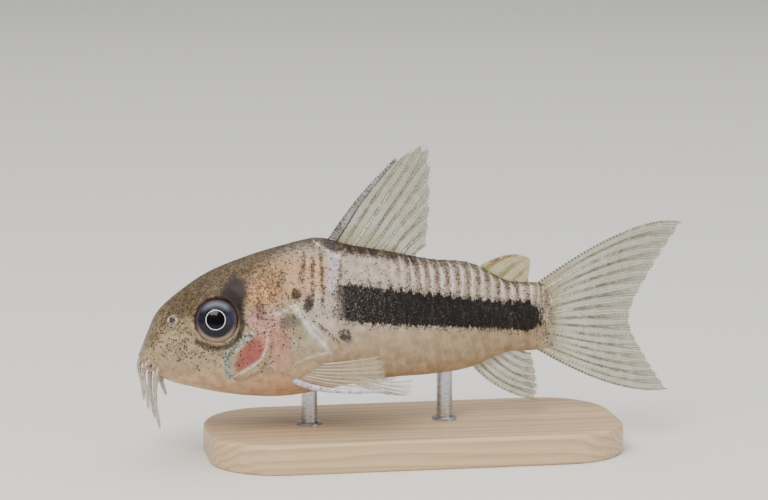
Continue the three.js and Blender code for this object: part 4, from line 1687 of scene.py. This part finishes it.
@dataclass(frozen=True)
class BarbelFinish:
    """Soft, slightly see-through flesh with a few dots, paler to the tip."""

    root: Colour = (152, 134, 108)
    tip: Colour = (184, 176, 166)
    dot: Colour = (70, 58, 48)

    def material(self) -> Material:
        """Makes the material.

        Returns:
            The finished material.
        """
        paint = Paint(
            "barbel", Coat_Weight=0.5, Coat_Roughness=0.15, Subsurface_Weight=0.35, Subsurface_Scale=0.0006
        )
        out = paint.noted("out")
        dots = paint.dots(4.6, 0.5, 0.42 - out * 0.34) * 0.8
        paler = paint.step(out, 0.0, 0.7)
        paint.give("Base Color", paint.layers(self.root, (paler, self.tip), (dots, self.dot)))
        paint.give("Alpha", 1.0 - paint.step(out, 0.1, 1.0, top=0.2))
        paint.roughen(least=0.25, spread=0.2)
        paint.fine_bumps()
        return paint.material


# Stand


@dataclass
class Stand:
    """A low wooden base with rounded ends, and two steel rods with a small collar each."""

    corner: float = 7.0
    bevel: float = 0.6
    corner_steps: int = 20
    bevel_steps: int = 8
    rod_spokes: int = 48
    collar_radius: float = 1.25
    collar_height: float = 0.35
    collar_round: float = 0.1
    sunk: float = 0.1
    seam: float = 0.02
    into_belly: float = 0.6

    def build_base(self) -> Object:
        """Builds the base to its node's size, with finely rounded edges.

        Returns:
            The base.
        """
        low, high = (np.array(c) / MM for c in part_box("stand_base"))
        half = (high - low) / 2 - self.corner
        turns = np.linspace(0, math.pi / 2, self.corner_steps + 1)
        middles, outs = [], []
        for quarter, (sx, sy) in enumerate(((1, 1), (-1, 1), (-1, -1), (1, -1))):
            for a in turns + quarter * math.pi / 2:
                middles.append((sx * half[0], sy * half[1]))
                outs.append((math.cos(a), math.sin(a)))
        outs, n = np.array(outs), len(outs)
        bends = np.linspace(0, math.pi / 2, self.bevel_steps + 1)
        insets = [1.0, *(0.5 - 0.5 * np.sin(bends)), *(1 - np.cos(bends))]
        lower = low[2] + self.bevel * 0.5 * (1 - np.cos(bends))
        upper = high[2] - self.bevel * (1 - np.sin(bends))
        rows = [
            np.column_stack([middles + (self.corner - self.bevel * inset) * outs, np.full(n, z)])
            for inset, z in zip(insets, [low[2], *lower, *upper])
        ]
        faces = grid_faces(len(rows), n, wrapped=True)
        faces += [tuple(reversed(range(n))), tuple(range((len(rows) - 1) * n, len(rows) * n))]
        made = make_object("stand_wood", np.vstack(rows), faces)
        for face in list(made.data.polygons)[-2:]:
            face.use_smooth = False
        return made

    def build_rod(self, node: str) -> Object:
        """Builds a rod with its collar, up into the belly.

        Args:
            node: the frame's node that the rod stands for.

        Returns:
            The rod.
        """
        low, high = (np.array(c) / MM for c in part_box(node))
        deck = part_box("stand_base")[1].z / MM
        radius = (high[0] - low[0]) / 2
        x = (high[0] + low[0]) / 2
        collar, collar_top, top = self.collar_radius, deck + self.collar_height, high[2] + self.into_belly
        profile = (
            (radius, low[2]), (radius, deck - self.sunk), (collar, deck - self.sunk),
            (collar, collar_top - self.collar_round), (collar - self.collar_round, collar_top),
            (radius + self.seam, collar_top), (radius, collar_top + self.seam), (radius, top),
        )
        turn = once_round(self.rod_spokes)
        rows = [
            np.column_stack([x + r * np.cos(turn), r * np.sin(turn), np.full(len(turn), z)])
            for r, z in profile
        ]
        points = np.vstack([*rows, (x, 0.0, low[2]), (x, 0.0, top)])
        made = make_object(node + "_steel", points, tipped_faces(len(rows), len(turn)))
        made.data.set_sharp_from_angle(angle=math.radians(40))
        return made

    def build(self, wood: Material, steel: Material) -> None:
        """Builds and dresses the stand."""
        settle(self.build_base(), wood, "stand_wood", "stand_base")
        for node in ("stand_rod_front", "stand_rod_rear"):
            settle(self.build_rod(node), steel, "stand_steel", node)


@dataclass(frozen=True)
class WoodFinish:
    """Satin pale wood with straight grain along the base."""

    light: Colour = (216, 190, 152)
    dark: Colour = (170, 134, 94)
    rings_per_mm: float = 0.6

    def material(self) -> Material:
        """Makes the material.

        Returns:
            The finished material.
        """
        paint = Paint("wood", Coat_Weight=0.25, Coat_Roughness=0.25)
        spot = paint.node("SeparateXYZ", {0: paint.place(self.rings_per_mm)})
        wander = paint.noise(0.22, stretch=(0.08, 1.0, 1.0)) * 4.0
        rings = paint.math("FRACT", spot.output(1) + spot.output(2) * 1.7 + wander)
        ring = paint.step(rings, 0.2, 0.9) * paint.step(rings, 1.0, 0.93)
        fine = paint.noise(3.2, detail=3.0, stretch=(0.03, 1.0, 1.0))
        paint.give("Base Color", paint.blend(ring * 0.36 + fine * 0.5, self.light, self.dark))
        paint.roughen(least=0.38, spread=0.25, cloud=fine)
        paint.bump(fine, strength=0.3, deep=0.03)
        return paint.material


@dataclass(frozen=True)
class SteelFinish:
    """Steel brushed round the rod."""

    light: Colour = (206, 208, 212)
    dark: Colour = (160, 162, 168)

    def material(self) -> Material:
        """Makes the material.

        Returns:
            The finished material.
        """
        paint = Paint("steel", Metallic=1.0)
        brushed = paint.noise(9.0, detail=3.0, stretch=(0.15, 0.15, 1.0))
        paint.give("Base Color", paint.blend(paint.step(brushed, 0.3, 0.7), self.dark, self.light))
        paint.roughen(least=0.2, spread=0.2, cloud=brushed)
        paint.bump(brushed, strength=0.25, deep=0.02)
        return paint.material


# Studio


@dataclass(frozen=True)
class Studio:
    """Pale floor, soft light and a camera at the photograph's angle."""

    azimuth: float = -10.0
    elevation: float = 9.0
    distance: float = 300.0
    aim: Point3 = (-2.998, 0.0, 20.5)
    lens: float = 140.6
    sensor: float = 36.0
    floor_reach: float = 3000.0
    floor_colour: Colour = (236, 235, 231)
    sky_colour: Colour = (236, 238, 242)
    sky_strength: float = 0.43

    def place(self, name: str, data: bpy.types.ID, at: Vector, ahead: Vector) -> Object:
        """Puts a camera or light in the scene.

        Args:
            name: the object's name.
            data: its camera or light data.
            at: its place, in metres.
            ahead: the direction that it looks in.

        Returns:
            The object.
        """
        made = bpy.data.objects.new(name, data)
        made.location = at
        made.rotation_mode = "QUATERNION"
        made.rotation_quaternion = ahead.to_track_quat("-Z", "Y")
        bpy.context.scene.collection.objects.link(made)
        return made

    def build_camera(self) -> None:
        """Places the camera."""
        a, e = math.radians(self.azimuth), math.radians(self.elevation)
        back = Vector((math.sin(a) * math.cos(e), -math.cos(a) * math.cos(e), math.sin(e)))
        data = bpy.data.cameras.new("camera")
        data.lens, data.sensor_width = self.lens, self.sensor
        data.clip_start, data.clip_end = 0.01, 20.0
        at = (Vector(self.aim) + back * self.distance) * MM
        bpy.context.scene.camera = self.place("camera", data, at, -back)

    def build_floor(self) -> None:
        """Lays a plain pale floor."""
        signs = ((-1, -1, 0), (1, -1, 0), (1, 1, 0), (-1, 1, 0))
        floor = make_object("floor", np.array(signs) * self.floor_reach, [(0, 1, 2, 3)])
        paint = Paint("floor", Base_Color=linear(self.floor_colour))
        paint.roughen(least=0.55, spread=0.1, cloud=paint.noise(0.02))
        floor.data.materials.append(paint.material)

    def add_light(self, name: str, at: Point3, size: float, power: float, colour: Colour) -> None:
        """Adds a square soft light aimed at the fish.

        Args:
            name: the light's name.
            at: its place.
            size: its width and height.
            power: its power in watts.
            colour: its colour.
        """
        data = bpy.data.lights.new(name, "AREA")
        data.size, data.energy, data.color = size * MM, power, linear(colour)[:3]
        self.place(name, data, Vector(at) * MM, Vector(self.aim) * MM - Vector(at) * MM)

    def build(self) -> None:
        """Builds camera, floor and lights."""
        self.build_camera()
        self.build_floor()
        world = bpy.data.worlds.new("studio")
        world.use_nodes = True
        background = world.node_tree.nodes["Background"]
        background.inputs["Color"].default_value = linear(self.sky_colour)
        background.inputs["Strength"].default_value = self.sky_strength
        bpy.context.scene.world = world
        self.add_light("overhead", (20, 60, 640), 900, 4.6, (255, 252, 246))
        self.add_light("key", (-150, -230, 290), 190, 1.35, (255, 250, 242))
        self.add_light("fill", (230, -260, 110), 240, 0.3, (240, 246, 255))


def build_fins() -> None:
    """Builds the upright fins and the paired ones."""
    membrane, ray = MembraneFinish().material(), RayFinish().material()
    clear = MembraneFinish("clear_membrane", (206, 192, 168), (168, 152, 124), (200, 176, 146), 0.1, 0.3)
    clear_ray = RayFinish(
        "clear_rays", (228, 220, 204), (212, 202, 184), (206, 196, 176), cover=0.66, inked=0.25
    )
    olive = MembraneFinish("adipose_membrane", (172, 156, 84), (140, 124, 66), (166, 146, 96), 0.45)
    grey_spine = SpineFinish("dorsal_spine", (166, 158, 156), (122, 114, 108), 0.5, edging=0.85)
    white_spine = SpineFinish("pectoral_spine", (206, 204, 214), (164, 158, 172), 0.12)
    olive_spine = SpineFinish("adipose_spine", (176, 156, 104), (124, 104, 68), 0.25)
    clear, clear_ray, olive = clear.material(), clear_ray.material(), olive.material()
    grey_spine, white_spine, olive_spine = (s.material() for s in (grey_spine, white_spine, olive_spine))
    Fin(DORSAL, Side.LEFT, 0).build(membrane, ray, grey_spine)
    Fin(ADIPOSE, Side.LEFT, 1).build(olive, ray, olive_spine)
    Fin(CAUDAL, Side.LEFT, 2).build(membrane, ray, grey_spine)
    Fin(ANAL, Side.LEFT, 3).build(membrane, ray, grey_spine)
    for side in Side:
        Fin(PECTORAL, side, 10).build(clear, clear_ray, white_spine)
        Fin(PELVIC, side, 11).build(clear, clear_ray, white_spine)


def main() -> None:
    """Builds the studio, the fish and its stand."""
    logging.basicConfig(level=logging.INFO, format="%(name)s: %(message)s")
    Studio().build()
    skin = Skin()
    covered = ("head", "trunk", "tail", "gill_cover_left", "gill_cover_right")
    settle(skin.build(), SkinFinish().material(), "skin", *covered)
    eye_finish = EyeFinish().material()
    for side in Side:
        settle(skin.eye.build(side), eye_finish, "eye", "eye_" + side.word)
    build_fins()
    barbel_finish = BarbelFinish().material()
    for barbel in BARBELS:
        for side in Side:
            settle(barbel.build(side), barbel_finish, "barbel", f"{barbel.name}_barbel_{side.word}")
    Stand().build(WoodFinish().material(), SteelFinish().material())


if __name__ == "__main__":
    main()
